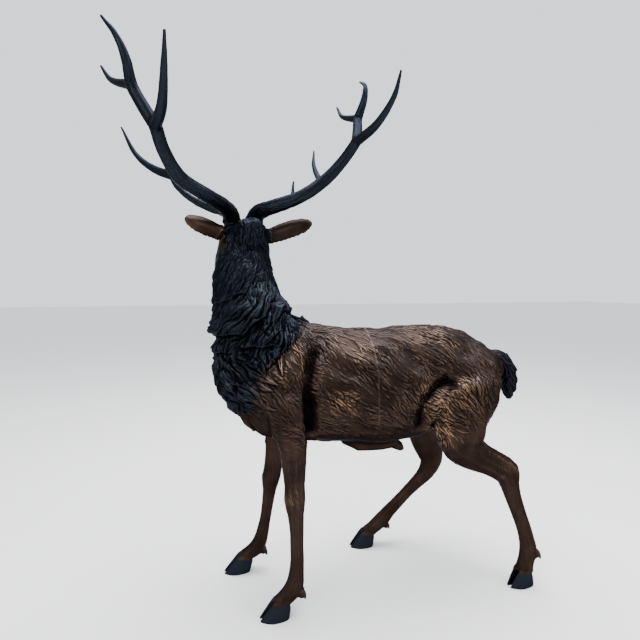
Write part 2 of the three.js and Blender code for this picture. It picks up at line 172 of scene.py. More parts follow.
class Surface:
    """A fine closed surface held as arrays: points and four-sided faces."""

    def __init__(self, mesh: bpy.types.Mesh) -> None:
        """Copies a mesh of four-sided faces, and the numbers on its points, into arrays."""
        self.points = np.empty(len(mesh.vertices) * 3)
        mesh.vertices.foreach_get("co", self.points)
        self.points = self.points.reshape(-1, 3)
        self.marks: dict[str, Array] = {}
        for attribute in mesh.attributes:
            if attribute.data_type == "FLOAT" and attribute.domain == "POINT":
                values = np.empty(len(mesh.vertices))
                attribute.data.foreach_get("value", values)
                self.marks[attribute.name] = values
        edges = np.empty(len(mesh.edges) * 2, np.int32)
        mesh.edges.foreach_get("vertices", edges)
        self.ends = edges.reshape(-1, 2).T
        corners = np.empty(len(mesh.loops), np.int32)
        mesh.loops.foreach_get("vertex_index", corners)
        self.faces = corners.reshape(-1, 4)
        self.degree = np.bincount(self.ends.ravel(), minlength=len(self.points)).astype(float)

    def around(self, values: Array) -> Array:
        """The mean of each point's neighbours' values: their sum along the edges, by the degree."""
        start, end = self.ends
        count = len(self.points)
        columns = values.reshape(count, -1).T
        sums = [
            np.bincount(start, c[end], count) + np.bincount(end, c[start], count) for c in columns
        ]
        return (np.stack(sums, axis=1) / self.degree[:, None]).reshape(values.shape)

    def spread(self, values: Array, steps: int) -> Array:
        """Values averaged with their neighbours' again and again."""
        for _ in range(steps):
            values = 0.5 * values + 0.5 * self.around(values)
        return values

    def relax(self, steps: int, share: Array, push: float = 0.0) -> None:
        """Smooths the points: each moves a share of the way to its neighbours' mean.

        With a push, each step is followed by one the other way, a little stronger, which smooths
        small bumps and leaves the large form's size alone.

        Args:
            steps: how many times.
            share: how far each point goes, 0 to 1.
            push: the second step's strength by the first's.
        """
        for _ in range(steps):
            self.points += share[:, None] * (self.around(self.points) - self.points)
            if push:
                self.points -= push * share[:, None] * (self.around(self.points) - self.points)

    def fill(self, steps: int, share: Array) -> None:
        """Fills furrows: as relax, but a point only moves outwards."""
        for _ in range(steps):
            move = share[:, None] * (self.around(self.points) - self.points)
            outward = (move * self.normals()).sum(axis=1) > 0
            self.points += move * outward[:, None]

    def normals(self) -> Array:
        """Outward unit normals: each point's sum of the crossed diagonals of its faces."""
        corner = self.points[self.faces]
        cross = np.cross(corner[:, 2] - corner[:, 0], corner[:, 3] - corner[:, 1])
        count = len(self.points)
        sums = [
            np.bincount(self.faces.ravel(), np.repeat(cross[:, axis], 4), count)
            for axis in range(3)
        ]
        return unit(np.stack(sums, axis=1))

    def hollow(self, steps: int) -> Array:
        """How far each point lies below the smoothed surface: positive in hollows, in metres."""
        smooth = self.spread(self.points, steps)
        return ((smooth - self.points) * self.normals()).sum(axis=1)

    def mesh(self, name: str, kept: Array | None = None) -> bpy.types.Mesh:
        """A Blender mesh of the surface, with each mark as a number on its points.

        Args:
            name: the mesh's name.
            kept: which faces to keep, or None for all.

        Returns:
            The mesh.
        """
        faces = self.faces if kept is None else self.faces[kept]
        used, faces = np.unique(faces, return_inverse=True)
        faces = faces.reshape(-1, 4)
        mesh = bpy.data.meshes.new(name)
        mesh.vertices.add(len(used))
        mesh.vertices.foreach_set("co", self.points[used].astype(np.float32).ravel())
        mesh.loops.add(faces.size)
        mesh.loops.foreach_set("vertex_index", faces.astype(np.int32).ravel())
        mesh.polygons.add(len(faces))
        mesh.polygons.foreach_set("loop_start", np.arange(0, faces.size, 4, dtype=np.int32))
        mesh.update(calc_edges=True)
        write_marks(mesh, {mark: values[used] for mark, values in self.marks.items()})
        return mesh


class Grid:
    """Points sorted into cubes, to find those near a place."""

    def __init__(self, points: Array, cell: float) -> None:
        """Sorts the points by the key of the cube that each lies in."""
        self.cell = cell
        self.low = points.min(axis=0) - cell
        places = ((points - self.low) / cell).astype(np.int64)
        self.size = places.max(axis=0) + 3
        keys = self.key(places)
        self.order = np.argsort(keys, kind="stable")
        self.keys, self.first = np.unique(keys[self.order], return_index=True)
        self.last = np.append(self.first[1:], len(points))

    def key(self, places: Array) -> Array:
        """One number for each cube."""
        return (places[..., 0] * self.size[1] + places[..., 1]) * self.size[2] + places[..., 2]

    def near(self, place: Array, reach: float) -> Array:
        """Which points lie in the cubes that a box of that reach round the place touches."""
        low = ((place - reach - self.low) / self.cell).astype(np.int64)
        high = ((place + reach - self.low) / self.cell).astype(np.int64)
        spans = [np.arange(a, b + 1) for a, b in zip(np.maximum(low, 0), high)]
        cubes = np.stack(np.meshgrid(*spans, indexing="ij"), axis=-1).reshape(-1, 3)
        wanted = self.key(cubes)
        at = np.searchsorted(self.keys, wanted)
        at = at[(at < len(self.keys))]
        found = np.intersect1d(self.keys[at], wanted, return_indices=True)[1]
        at = at[found]
        return np.concatenate(
            [self.order[a:b] for a, b in zip(self.first[at], self.last[at])] or [self.order[:0]]
        )


def write_marks(mesh: bpy.types.Mesh, marks: dict[str, Array]) -> None:
    """Stores each mark on the mesh as a number on its points."""
    for mark, values in marks.items():
        attribute = mesh.attributes.new(mark, "FLOAT", "POINT")
        attribute.data.foreach_set("value", values.astype(np.float32))


def added(name: str, data: bpy.types.ID) -> bpy.types.Object:
    """A new object in the scene that holds the mesh, lamp or camera."""
    thing = bpy.data.objects.new(name, data)
    bpy.context.scene.collection.objects.link(thing)
    return thing


def fine_surface(node: bpy.types.Object, voxel: float) -> Surface:
    """An even, closed surface of four-sided faces over a solid's loose triangles.

    Args:
        node: the solid.
        voxel: the faces' size.

    Returns:
        The surface.
    """
    copy = added("rough", node.data.copy())
    loose = bmesh.new()
    loose.from_mesh(copy.data)
    bmesh.ops.remove_doubles(loose, verts=loose.verts, dist=1e-5)
    loose.to_mesh(copy.data)
    loose.free()
    even = copy.modifiers.new("even", "REMESH")
    even.mode = "VOXEL"
    even.voxel_size = voxel * 1.0
    surface = Surface(evaluated(copy))
    bpy.data.objects.remove(copy)
    return surface


def evaluated(thing: bpy.types.Object) -> bpy.types.Mesh:
    """The thing's mesh with its modifiers applied."""
    graph = bpy.context.evaluated_depsgraph_get()
    graph.update()
    return bpy.data.meshes.new_from_object(thing.evaluated_get(graph))


def divided(mesh: bpy.types.Mesh, times: int) -> Surface:
    """The mesh as a surface, with each face divided in four and rounded, so many times."""
    thing = added("divide", mesh)
    finer = thing.modifiers.new("finer", "SUBSURF")
    finer.levels = times
    finer.render_levels = times
    finer.use_limit_surface = False
    result = Surface(evaluated(thing))
    bpy.data.objects.remove(thing)
    return result


def close(mesh: bpy.types.Mesh) -> None:
    """Fills every open edge loop of the mesh, so that it is a closed shell."""
    made = bmesh.new()
    made.from_mesh(mesh)
    edge = [e for e in made.edges if len(e.link_faces) == 1]
    if edge:
        filled = bmesh.ops.holes_fill(made, edges=edge, sides=0)["faces"]
        bmesh.ops.triangulate(made, faces=filled)
    open_edges = sum(1 for e in made.edges if len(e.link_faces) != 2)
    log.info("%s: %d edges closed, %d left open", mesh.name, len(edge), open_edges)
    made.to_mesh(mesh)
    made.free()


def piece(
    name: str,
    mesh: bpy.types.Mesh,
    material: bpy.types.Material,
    node: str,
    triangles: int = 0,
) -> bpy.types.Object:
    """A finished piece that rides on the root and stands for a solid.

    Args:
        name: the piece's name.
        mesh: its surface.
        material: its finish.
        node: the solid that it stands for.
        triangles: at most how many to keep, or 0 for all.

    Returns:
        The piece.
    """
    thing = added(name, mesh)
    count = len(mesh.loops) - 2 * len(mesh.polygons)
    if triangles and count > triangles:
        thinner = thing.modifiers.new("thinner", "DECIMATE")
        thinner.ratio = triangles / count
        thing.data = evaluated(thing)
        thing.modifiers.clear()
    thing.data.name = name
    thing.data.polygons.foreach_set("use_smooth", np.ones(len(thing.data.polygons), bool))
    thing.data.materials.clear()
    thing.data.materials.append(material)
    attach(thing, "root")
    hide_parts(node)
    kept = len(thing.data.loops) - 2 * len(thing.data.polygons)
    log.info("%s: %d triangles", name, kept)
    return thing


# ---------------------------------------------------------------- raised and sunk forms


@dataclass(frozen=True)
class Swell:
    """A soft swelling, or with a height below zero a groove, along a line of places.

    Its height at a point is the given height times exp(-d^2 / 2r^2), where d is the distance to the
    line and r its radius.
    """

    line: tuple[Place, ...]
    radius: float
    height: float

    def on(self, points: Array) -> Array:
        """The height of the form at each point."""
        line = np.array(self.line, float)
        reach = 3.2 * self.radius
        near = np.all((points > line.min(0) - reach) & (points < line.max(0) + reach), axis=1)
        spot = points[near]
        nearest = np.full(len(spot), np.inf)
        for start, end in zip(line[:-1], line[1:]):
            along = end - start
            share = np.clip((spot - start) @ along / max(along @ along, 1e-12), 0, 1)
            gap = spot - start - share[:, None] * along
            nearest = np.minimum(nearest, (gap * gap).sum(axis=1))
        total = np.zeros(len(points))
        total[near] = self.height * np.exp(-nearest / (2 * self.radius**2))
        return total


def forms_of(*rows: tuple) -> tuple[Swell, ...]:
    """The forms of a table.

    Args:
        rows: for each form its radius and its height in tenths of a millimetre, and then the
            places along its line in millimetres.

    Returns:
        The forms, in metres.
    """
    return tuple(
        Swell(
            tuple(tuple(value / MM_PER_M for value in place) for place in line),
            radius / (10 * MM_PER_M),
            height / (10 * MM_PER_M),
        )
        for radius, height, *line in rows
    )


def swells(forms: tuple[Swell, ...], points: Array) -> Array:
    """The forms' heights added up at each point."""
    return sum((form.on(points) for form in forms), np.zeros(len(points)))


def folded(points: Array, axis: int) -> Array:
    """The points with one coordinate made positive, so that a form stands on both sides."""
    result = points.copy()
    result[:, axis] = np.abs(result[:, axis])
    return result


def scattered(points: Array, spacing: float, chance: Array, seed: int) -> Array:
    """Evenly scattered points: in random order, the first in each cube, kept by chance.

    Args:
        points: places, one row each.
        spacing: the cubes' size.
        chance: how likely each point is to be kept, 0 to 1.
        seed: which random order.

    Returns:
        The rows of the points that are kept.
    """
    draw = np.random.default_rng(seed)
    order = draw.permutation(len(points))
    cubes = np.floor(points[order] / spacing + draw.uniform(0, 1, 3)).astype(np.int64)
    cubes -= cubes.min(axis=0)
    size = cubes.max(axis=0) + 1
    keys = (cubes[:, 0] * size[1] + cubes[:, 1]) * size[2] + cubes[:, 2]
    chosen = order[np.sort(np.unique(keys, return_index=True)[1])]
    return chosen[draw.uniform(size=len(chosen)) < chance[chosen]]


@dataclass
class Tufts:
    """Locks of hair laid on a surface, one row of each array for each lock."""

    centre: Array
    along: Array
    normal: Array
    length: Array
    width: Array
    height: Array
    bend: Array
    strands: int

    def only(self, kept: Array) -> "Tufts":
        """The locks that are marked as kept."""
        rows = [getattr(self, item.name)[kept] for item in fields(self) if item.name != "strands"]
        return Tufts(*rows, self.strands)

    def on(self, points: Array, grid: Grid) -> Array:
        """The height of the hair at each point: the highest lock that covers it.

        In a lock's own terms, s runs from -1 at its root to 1 at its tip and c from -1 to 1 across.
        Its middle line bends sideways as bend * s^2. Its half width grows from the root to full at
        s = 0 and closes to a point at the tip. Its height rises along it, and falls across it as
        1 - c^2, less shallow furrows between its strands.
        """
        relief = np.zeros(len(points))
        across = np.cross(self.normal, self.along)
        for i in range(len(self.centre)):
            reach = 0.5 * self.length[i] + abs(self.bend[i])
            near = grid.near(self.centre[i], reach)
            gap = points[near] - self.centre[i]
            s = gap @ self.along[i] * (2.0 / self.length[i])
            c = gap @ across[i] - self.bend[i] * (s * s - 0.4)
            deep = np.abs(gap @ self.normal[i])
            kept = (np.abs(s) < 1) & (np.abs(c) < self.width[i]) & (deep < 0.7 * reach)
            s, c, near = s[kept], c[kept], near[kept]
            shape = fade(s, -1.1, 0.0) * np.clip(1.0 - np.clip(s, 0, 1) ** 1.6, 0, 1) ** 0.8
            c = c / (self.width[i] * np.maximum(shape, 0.05))
            dome = np.clip(1.0 - c * c, 0, 1)
            furrow = 1.0 - 0.25 * (0.5 - 0.5 * np.cos(self.strands * math.pi * (c + 1.0)))
            rise = fade(s, -1.0, 0.5)
            relief[near] = np.maximum(relief[near], self.height[i] * dome * furrow * rise)
        return relief


# ---------------------------------------------------------------- the stag's head


@dataclass(frozen=True)
class Head:
    """The head in its own frame: x to the stag's right, y forward along the muzzle, z up."""

    at: Place = (-0.470, 0.103, 1.594)
    yaw: float = 11.0
    pitch: float = -20.0
    eye: tuple[float, float] = (0.062, -0.096)
    eye_half: float = 0.0225
    # forms on both sides
    forms: tuple[Swell, ...] = forms_of(
        (110, 75, (54, 30, -62), (62, 62, -73), (62, 92, -88)),
        (240, -55, (78, 62, -98), (78, 63, -98)),
        (160, -35, (30, 70, -50), (28, 110, -66)),
        (48, -70, (64, 94, -112), (58, 108, -120), (51, 124, -130)),
        (70, 30, (68, 88, -122), (56, 124, -140)),
        (95, 50, (80, 30, -124), (72, 80, -134), (52, 150, -150)),
        (270, 65, (76, -10, -160), (66, 45, -172)),
        (110, 40, (62, -35, -212), (54, 50, -215), (40, 140, -205)),
        (150, -60, (52, 105, -165), (42, 170, -172)),
        (120, -42, (48, 150, -128), (40, 270, -146)),
        (90, 35, (22, 110, -80), (21, 200, -107), (20, 300, -122)),
        (120, 60, (26, 325, -138), (26, 350, -146)),
        (50, -110, (19, 358, -156), (27, 350, -150), (34, 334, -143)),
        (50, 25, (28, 356, -160), (37, 336, -154)),
        (100, 30, (10, 350, -172), (32, 330, -172), (42, 270, -168)),
        (40, -70, (0, 356, -184), (20, 350, -185), (34, 325, -184),
         (42, 280, -181), (46, 245, -176)),
        (110, 50, (0, 335, -198), (20, 325, -198)),
        (30, -30, (0, 362, -150), (0, 360, -180)),
        (140, 30, (0, 30, -20), (0, 100, -50)),
        (150, -60, (74, -55, -120), (68, -50, -170), (52, -30, -225)),
    )

    def frame(self) -> Array:
        """The head's axes as columns: turned by the yaw about Z, then by the pitch about x."""
        yaw, pitch = math.radians(self.yaw), math.radians(self.pitch)
        cos, sin = math.cos(yaw), math.sin(yaw)
        turn = np.array([[cos, -sin, 0], [sin, cos, 0], [0, 0, 1]])
        cos, sin = math.cos(pitch), math.sin(pitch)
        return turn @ np.array([[1, 0, 0], [0, cos, -sin], [0, sin, cos]])

    def local(self, points: Array) -> Array:
        """Points in the head's own frame."""
        return (points - np.array(self.at)) @ self.frame()

    def ears(self, points: Array) -> Array:
        """Where the ears are, 0 to 1: to either side of the skull, above the cheeks."""
        x, _, z = self.local(points).T
        return fade(np.abs(x), 0.088, 0.108) * fade(z, -0.170, -0.150)

    def face(self, points: Array) -> Array:
        """Where the face is, 0 to 1: in front of the ears, above the throat."""
        _, y, z = self.local(points).T
        reach = fade(y, -0.045, 0.010) * fade(z + 0.25 * np.clip(y, 0, 1), -0.245, -0.200)
        return reach * (1 - self.ears(points))

    def nose(self, points: Array) -> Array:
        """Where the bare tip of the nose is, 0 to 1."""
        return fade(self.local(points)[:, 1], 0.325, 0.345)

    def carve(self, surface: Surface) -> None:
        """Raises the face's forms, then the eyes and the cup of the ears.

        An eye slants by 20 degrees. It is an almond whose half height falls as 1.12 - u^2, where u
        runs from -1 to 1 along it. With e the distance from its middle line by that half height,
        the lids stand where e is a little over 1, a furrow lies where it is 1, and the ball swells
        inside.
        """
        local = self.local(surface.points)
        both = folded(local, 0)
        here = 1 - self.ears(surface.points)
        lift = swells(self.forms, both) * here
        cos, sin = 0.94, 0.34
        ahead, above = both[:, 1] - self.eye[0], both[:, 2] - self.eye[1]
        u = (ahead * cos - above * sin) / self.eye_half
        v = above * cos + ahead * sin
        half = np.where(v > 0, 0.0130, 0.0105) * np.clip(1.12 - u * u, 0.02, 1)
        e = np.abs(v) / half
        side = fade(both[:, 0], 0.045, 0.055) * here * (np.abs(u) < 1.35) * (np.abs(v) < 0.04)
        ends = 1 - fade(np.abs(u), 0.95, 1.3)
        lid = bell(e, 1.32, 0.26) * np.where(v > 0, 0.0050, 0.0034) * ends
        rim = -0.0030 * bell(e, 1.0, 0.13) * ends
        crease = -0.0022 * bell(e, 2.0, 0.22) * (v > 0) * ends
        ball = 0.0055 * np.clip(1 - 0.8 * u * u - 0.5 * e * e, 0, 1) ** 0.5 * (e < 1)
        pupil = -0.0016 * np.exp(-((u / 0.36) ** 2 + (v / 0.0045) ** 2) ** 2)
        lift = lift + side * (lid + rim + crease + ball + pupil)
        surface.points = surface.points + surface.normals() * lift[:, None]
        self.cup_ears(surface)

    def cup_ears(self, surface: Surface) -> None:
        """Hollows the front of each ear between its rims, with three low ridges along it."""
        local = self.local(surface.points)
        x, z = np.abs(local[:, 0]), local[:, 2]
        middle = np.interp(x, (0.058, 0.145, 0.190, 0.264), (-0.090, -0.072, -0.064, -0.056))
        half = np.interp(
            x, (0.090, 0.145, 0.190, 0.230, 0.258), (0.030, 0.040, 0.040, 0.032, 0.016)
        )
        across = (z - middle) / half
        ahead = surface.normals() @ self.axis()
        cup = np.clip(1 - across**2, 0, 1) ** 0.7 * fade(ahead, 0.1, 0.5)
        cup = cup * self.ears(surface.points)
        ridges = 0.0012 * np.cos(across * 8.0)
        depth = 0.0050 * cup + ridges * cup
        surface.points = surface.points - depth[:, None] * surface.normals()

    def axis(self) -> Array:
        """The unit direction in which the muzzle points."""
        return self.frame()[:, 1]


# ---------------------------------------------------------------- the stag's coat


@dataclass(frozen=True)
class Part:
    """One stretch of the casting, between planes, that is made fine on its own.

    Its surface dips under its neighbours' just past each plane, and ends inside them in a flat
    wall.
    """

    name: str
    planes: tuple[tuple[Place, Place], ...]
    divisions: int
    triangles: int

    def inside(self, points: Array) -> Array:
        """How far each point is inside the planes, in metres: the least over them."""
        gaps = [(points - np.array(at)) @ unit(np.array(way, float)) for at, way in self.planes]
        return np.min(gaps, axis=0)


NECK_TOP = (-0.47, 0.10, 1.262)
NECK_FOOT = (-0.20, 0.0, 1.17)
BARREL = (0.03, 0.0, 0.9)
LEAN = (-0.37, 0.0, 0.40)

# the heights between which the mane's ruffs give way to the smoother nape
NAPE = (1.20, 1.28)

PARTS = (
    Part("stag_head", ((NECK_TOP, (0, 0, 1)),), 2, 185_000),
    Part("stag_neck", ((NECK_TOP, (0, 0, -1)), (NECK_FOOT, LEAN)), 2, 190_000),
    Part("stag_forequarters", ((NECK_FOOT, (0.37, 0, -0.40)), (BARREL, (-1, 0, 0))), 1, 190_000),
    Part("stag_hindquarters", ((BARREL, (1, 0, 0)),), 1, 195_000),
)


@dataclass
class Stag:
    """The body in one casting, with the tables of its forms in its own frame."""

    voxel: float = 0.0055
    overlap: float = 0.016
    head: Head = field(default_factory=Head)
    # the middle of the neck: height, x, y, and how far its throat has turned, in degrees
    neck: Table = (
        (0.85, -0.330, 0.0, 0),
        (1.00, -0.385, 0.0, 0),
        (1.09, -0.408, 0.0, 4),
        (1.165, -0.436, 0.004, 10),
        (1.24, -0.456, 0.014, 20),
        (1.31, -0.470, 0.030, 34),
        (1.375, -0.477, 0.050, 50),
        (1.43, -0.479, 0.068, 66),
        (1.49, -0.474, 0.084, 76),
        (1.54, -0.468, 0.094, 79),
    )
    # the mane's edge on the shoulder: height and x
    mane_edge: Table = (
        (0.74, -0.430),
        (0.855, -0.459),
        (0.913, -0.448),
        (0.957, -0.431),
        (1.006, -0.392),
        (1.062, -0.340),
        (1.112, -0.268),
        (1.20, -0.200),
    )
    # forms on both sides
    muscles: tuple[Swell, ...] = forms_of(
        (450, 90, (-270, 115, 1070), (-325, 190, 880)),
        (360, 60, (-310, 205, 830), (-315, 205, 740)),
        (190, -220, (-215, 125, 1040), (-235, 145, 985), (-248, 167, 907),
         (-252, 179, 831), (-248, 170, 740)),
        (170, -120, (-250, 180, 860), (-246, 165, 730)),
        (450, -120, (235, 150, 1000), (275, 160, 950)),
        (350, 80, (320, 110, 1085), (380, 110, 1080)),
        (750, 90, (500, 190, 920), (420, 210, 800)),
        (400, 80, (-20, 145, 1020), (10, 150, 1010)),
        (350, 50, (-120, 170, 930), (-60, 180, 920)),
        (350, 70, (170, 170, 960), (210, 170, 940)),
        (400, 90, (300, 200, 800), (330, 200, 690)),
        (500, -60, (200, 160, 880), (150, 170, 840)),
    )
    # the line in which the thigh folds against the flank, from the loin down
    crease: Table = (
        (0.535, 0.180, 0.955),
        (0.470, 0.190, 0.938),
        (0.403, 0.185, 0.924),
        (0.352, 0.180, 0.908),
        (0.285, 0.187, 0.866),
        (0.246, 0.190, 0.825),
        (0.232, 0.185, 0.785),
        (0.236, 0.160, 0.720),
    )
    # forms on one side: tendons, knees and hocks
    single: tuple[Swell, ...] = forms_of(
        (60, -30, (-288, -190, 400), (-286, -190, 200)),
        (60, -30, (-288, -142, 400), (-286, -142, 200)),
        (60, -30, (-340, 200, 370), (-366, 210, 200)),
        (60, -30, (-340, 152, 370), (-366, 164, 200)),
        (60, -30, (668, -232, 400), (712, -246, 220)),
        (60, -30, (668, -180, 400), (712, -198, 220)),
        (60, -30, (400, 268, 310), (300, 278, 200)),
        (60, -30, (400, 214, 310), (300, 226, 200)),
        (110, -50, (540, -215, 540), (630, -228, 500)),
        (110, -50, (430, 250, 500), (470, 262, 430)),
        (150, 35, (-345, -166, 478), (-345, -168, 440)),
        (150, 35, (-382, 170, 442), (-386, 172, 404)),
    )

    def build(self, node: bpy.types.Object, material: bpy.types.Material) -> None:
        """Makes the body: one even surface with its forms, and then the coat, part by part."""
        surface = fine_surface(node, self.voxel)
        surface.points -= SHIFT
        self.draw_together(surface)
        self.model(surface)
        normals = unit(surface.spread(surface.normals(), 4))
        flow = unit(surface.spread(self.flow(surface.points, normals), 6))
        surface.marks = {"flow_x": flow[:, 0], "flow_y": flow[:, 1], "flow_z": flow[:, 2]}
        # painted shade: how deep each point lies in the large folds, such as the crease before the
        # thigh, to be coloured near black
        surface.marks["fold_and_belly_shade"] = surface.hollow(70) * MM_PER_M
        coats = self.lay_tufts(surface, normals, flow)
        for part in PARTS:
            near = part.inside(surface.points)[surface.faces].mean(axis=1) > -self.overlap
            fine = divided(surface.mesh(part.name, near), part.divisions)
            log.info("%s: %d points", part.name, len(fine.points))
            self.dress(fine, coats, part)
            fine.points += SHIFT
            mesh = fine.mesh(part.name)
            close(mesh)
            piece(part.name, mesh, material, "stag", part.triangles)

    def draw_together(self, surface: Surface) -> None:
        """Smooths the joins: strongly where limbs meet the trunk, weakly at the ears and feet."""
        x, y, z = surface.points.T
        crown = self.head.local(surface.points)[:, 2]
        trunk = fade(z, 0.62, 0.76)
        high = fade(z, 0.86, 0.98)
        skull = fade(crown, -0.24, -0.16) * fade(z, 1.26, 1.34)
        loose = (1 - skull) * (1 - self.tail(surface.points))
        belly = fade(-z, -0.78, -0.70) * fade(z, 0.56, 0.59) * fade(x, -0.24, -0.14)
        belly = belly * fade(-x, -0.20, -0.15) * fade(-np.abs(y), -0.16, -0.12)
        surface.relax(8, 0.5 * np.ones(len(x)), 1.06)
        surface.relax(26, 0.5 * trunk * loose, 1.04)
        surface.relax(40, 0.55 * high * loose)
        surface.fill(120, 0.6 * belly)
        surface.relax(6, 0.4 * skull)

    def model(self, surface: Surface) -> None:
        """Raises the muscles and sinks the creases, and draws the feet inside their horn."""
        points = surface.points
        lift = swells(self.muscles, folded(points, 1)) + swells(self.single, points)
        line = np.array(self.crease)
        for moved in (line * (1, -1, 1), line - (0.04, 0, 0)):
            # its shallow and its deep stretch, and the flesh that swells behind the deep one
            for places, radius, height in (
                (moved[:4], 0.022, -0.011),
                (moved[3:], 0.021, -0.030),
                (moved[3:] + (0.034, 0, -0.026), 0.026, 0.008),
            ):
                lift = lift + Swell(tuple(map(tuple, places)), radius, height).on(points)
        surface.points = points + surface.normals() * lift[:, None]
        self.draw_in_feet(surface)

    def draw_in_feet(self, surface: Surface) -> None:
        """Draws each foot in towards the line from its sole to its coronet, under its horn."""
        reach, inset, lift = 0.11, 0.16, 0.004
        z = surface.points[:, 2]
        low = fade(-z, -Hooves.height, -0.050)
        for sole, coronet, _ in Hooves.feet:
            rise = np.clip(z / Hooves.height, 0, 1)[:, None]
            middle = np.array(sole) + rise * (np.array(coronet) - np.array(sole))
            gap = surface.points[:, :2] - middle
            near = np.linalg.norm(gap, axis=1) < reach
            surface.points[:, :2] -= inset * (low * near)[:, None] * gap
        surface.points[:, 2] += lift * fade(-z, -0.03, -0.01)

    def around_neck(self, points: Array) -> tuple[Array, Array]:
        """Each point's angle round the neck, 0 at the nape and +-pi at the throat.

        The neck's middle and turn are read off its table by height. The angle is the arc tangent of
        the point's distance sideways by its distance towards the nape.

        Returns:
            The angle, and the unit direction round the neck away from the nape.
        """
        height, mid_x, mid_y, degrees = np.array(self.neck, float).T
        z = points[:, 2]
        turned = np.radians(np.interp(z, height, degrees))
        gap = points[:, :2] - np.stack(
            [np.interp(z, height, mid_x), np.interp(z, height, mid_y)], axis=1
        )
        nape = np.stack([np.cos(turned), -np.sin(turned)], axis=1)
        side = np.stack([np.sin(turned), np.cos(turned)], axis=1)
        angle = np.arctan2((gap * side).sum(axis=1), (gap * nape).sum(axis=1))
        outward = unit(gap)
        away = np.stack([-outward[:, 1], outward[:, 0], np.zeros(len(z))], axis=1)
        return angle, away * np.sign(angle)[:, None]

    def mane(self, points: Array, soft: float) -> Array:
        """Where the mane lies, 0 to 1: in front of its edge line, above the brisket.

        Args:
            points: places, one row each.
            soft: half the width over which it gives way to the coat.
        """
        x, _, z = points.T
        height, edge = np.array(self.mane_edge).T
        ragged = 0.016 * waves(points, 0.06, 5)
        before = fade(np.interp(z, height, edge) - x + ragged, -soft, soft)
        before = before * fade(z, 0.78, 0.84)
        return before * (1 - self.head.face(points)) * (1 - self.head.ears(points))

    def tail(self, points: Array) -> Array:
        """Where the tail is, 0 to 1: behind the rump, above the hocks."""
        x, _, z = points.T
        return fade(x, 0.66, 0.70) * fade(z, 0.70, 0.75)

    def flow(self, points: Array, normals: Array) -> Array:
        """The way the hair lies at each point.

        On the trunk it runs back and down, on the haunch more down, on the neck down and away from
        the nape, on the head from the nose to the neck, on the ears out to their tips, and on the
        legs straight down. It is laid flat on the surface, and a slow wave turns it a little.
        """
        x, y, z = points.T
        one = np.ones(len(x))
        trunk = np.stack([one, 0.25 * np.sign(y) * fade(np.abs(y), 0, 0.1), -0.80 * one], axis=1)
        haunch = np.array([0.45, 0, -1.0])
        down = np.array([0.0, 0, -1.0])
        _, away = self.around_neck(points)
        neck = unit(down + 0.50 * away)
        ears = self.head.ears(points)
        out = np.sign(self.head.local(points)[:, :1]) * np.array([[0.98, 0.19, 0.0]])
        way = mix(trunk, haunch, fade(x, 0.34, 0.50))
        way = mix(way, down, fade(-z, -0.72, -0.60))
        way = mix(way, neck, fade(z, 0.98, 1.10) * fade(-x, 0.22, 0.34))
        way = mix(way, -self.head.axis(), self.head.face(points))
        way = mix(way, out, ears)
        way = way - (way * normals).sum(axis=1)[:, None] * normals
        return turn_about(unit(way), normals, 0.45 * (1 - ears) * waves(points, 0.15, 7))

    def lay_tufts(self, surface: Surface, normals: Array, flow: Array) -> list[Tufts]:
        """Scatters the loose locks of the coat, the mane and the tail."""
        x, _, z = surface.points.T
        mane = self.mane(surface.points, 0.02)
        coat = self.coat(surface.points) * (0.55 + 0.5 * waves(surface.points, 0.16, 9))
        shaggy = coat * fade(z, 1.00, 1.08) * fade(-x, -0.62, -0.50)
        lower = mane * (1 - fade(z, *NAPE))
        tail = self.tail(surface.points)
        # where, spacing, length, half width, height, strands
        kinds = (
            (coat, 0.026, 0.040, 0.0045, 0.0022, 1),
            (coat, 0.045, 0.060, 0.0080, 0.0028, 2),
            (shaggy, 0.030, 0.055, 0.0060, 0.0034, 1),
            (mane, 0.040, 0.110, 0.0085, 0.0035, 1),
            (lower, 0.060, 0.150, 0.0200, 0.0110, 3),
            (tail, 0.026, 0.070, 0.0090, 0.0060, 2),
        )
        laid = []
        for seed, (chance, spacing, length, width, height, count) in enumerate(kinds, 11):
            chosen = scattered(surface.points, spacing, chance, seed)
            draw = np.random.default_rng(seed + 100)
            vary = draw.uniform(0.7, 1.35, (3, len(chosen)))
            normal = normals[chosen]
            laid.append(
                Tufts(
                    surface.points[chosen],
                    turn_about(flow[chosen], normal, draw.normal(0, 0.2, len(chosen))),
                    normal,
                    length * vary[0],
                    width * vary[1],
                    height * vary[2],
                    length * draw.uniform(-0.16, 0.16, len(chosen)),
                    count,
                )
            )
        return laid

    def coat(self, points: Array) -> Array:
        """Where the rough coat is, 0 to 1: off the mane, head, tail, belly and lower legs."""
        x, _, z = points.T
        belly = fade(-z, -0.78, -0.66) * fade(x, -0.24, -0.14) * fade(-x, -0.34, -0.20)
        off = (1 - self.mane(points, 0.02)) * (1 - self.head.ears(points)) * (1 - 0.9 * belly)
        off = fade(z, 0.58, 0.74) * off
        return off * (1 - self.head.face(points)) * (1 - self.tail(points))

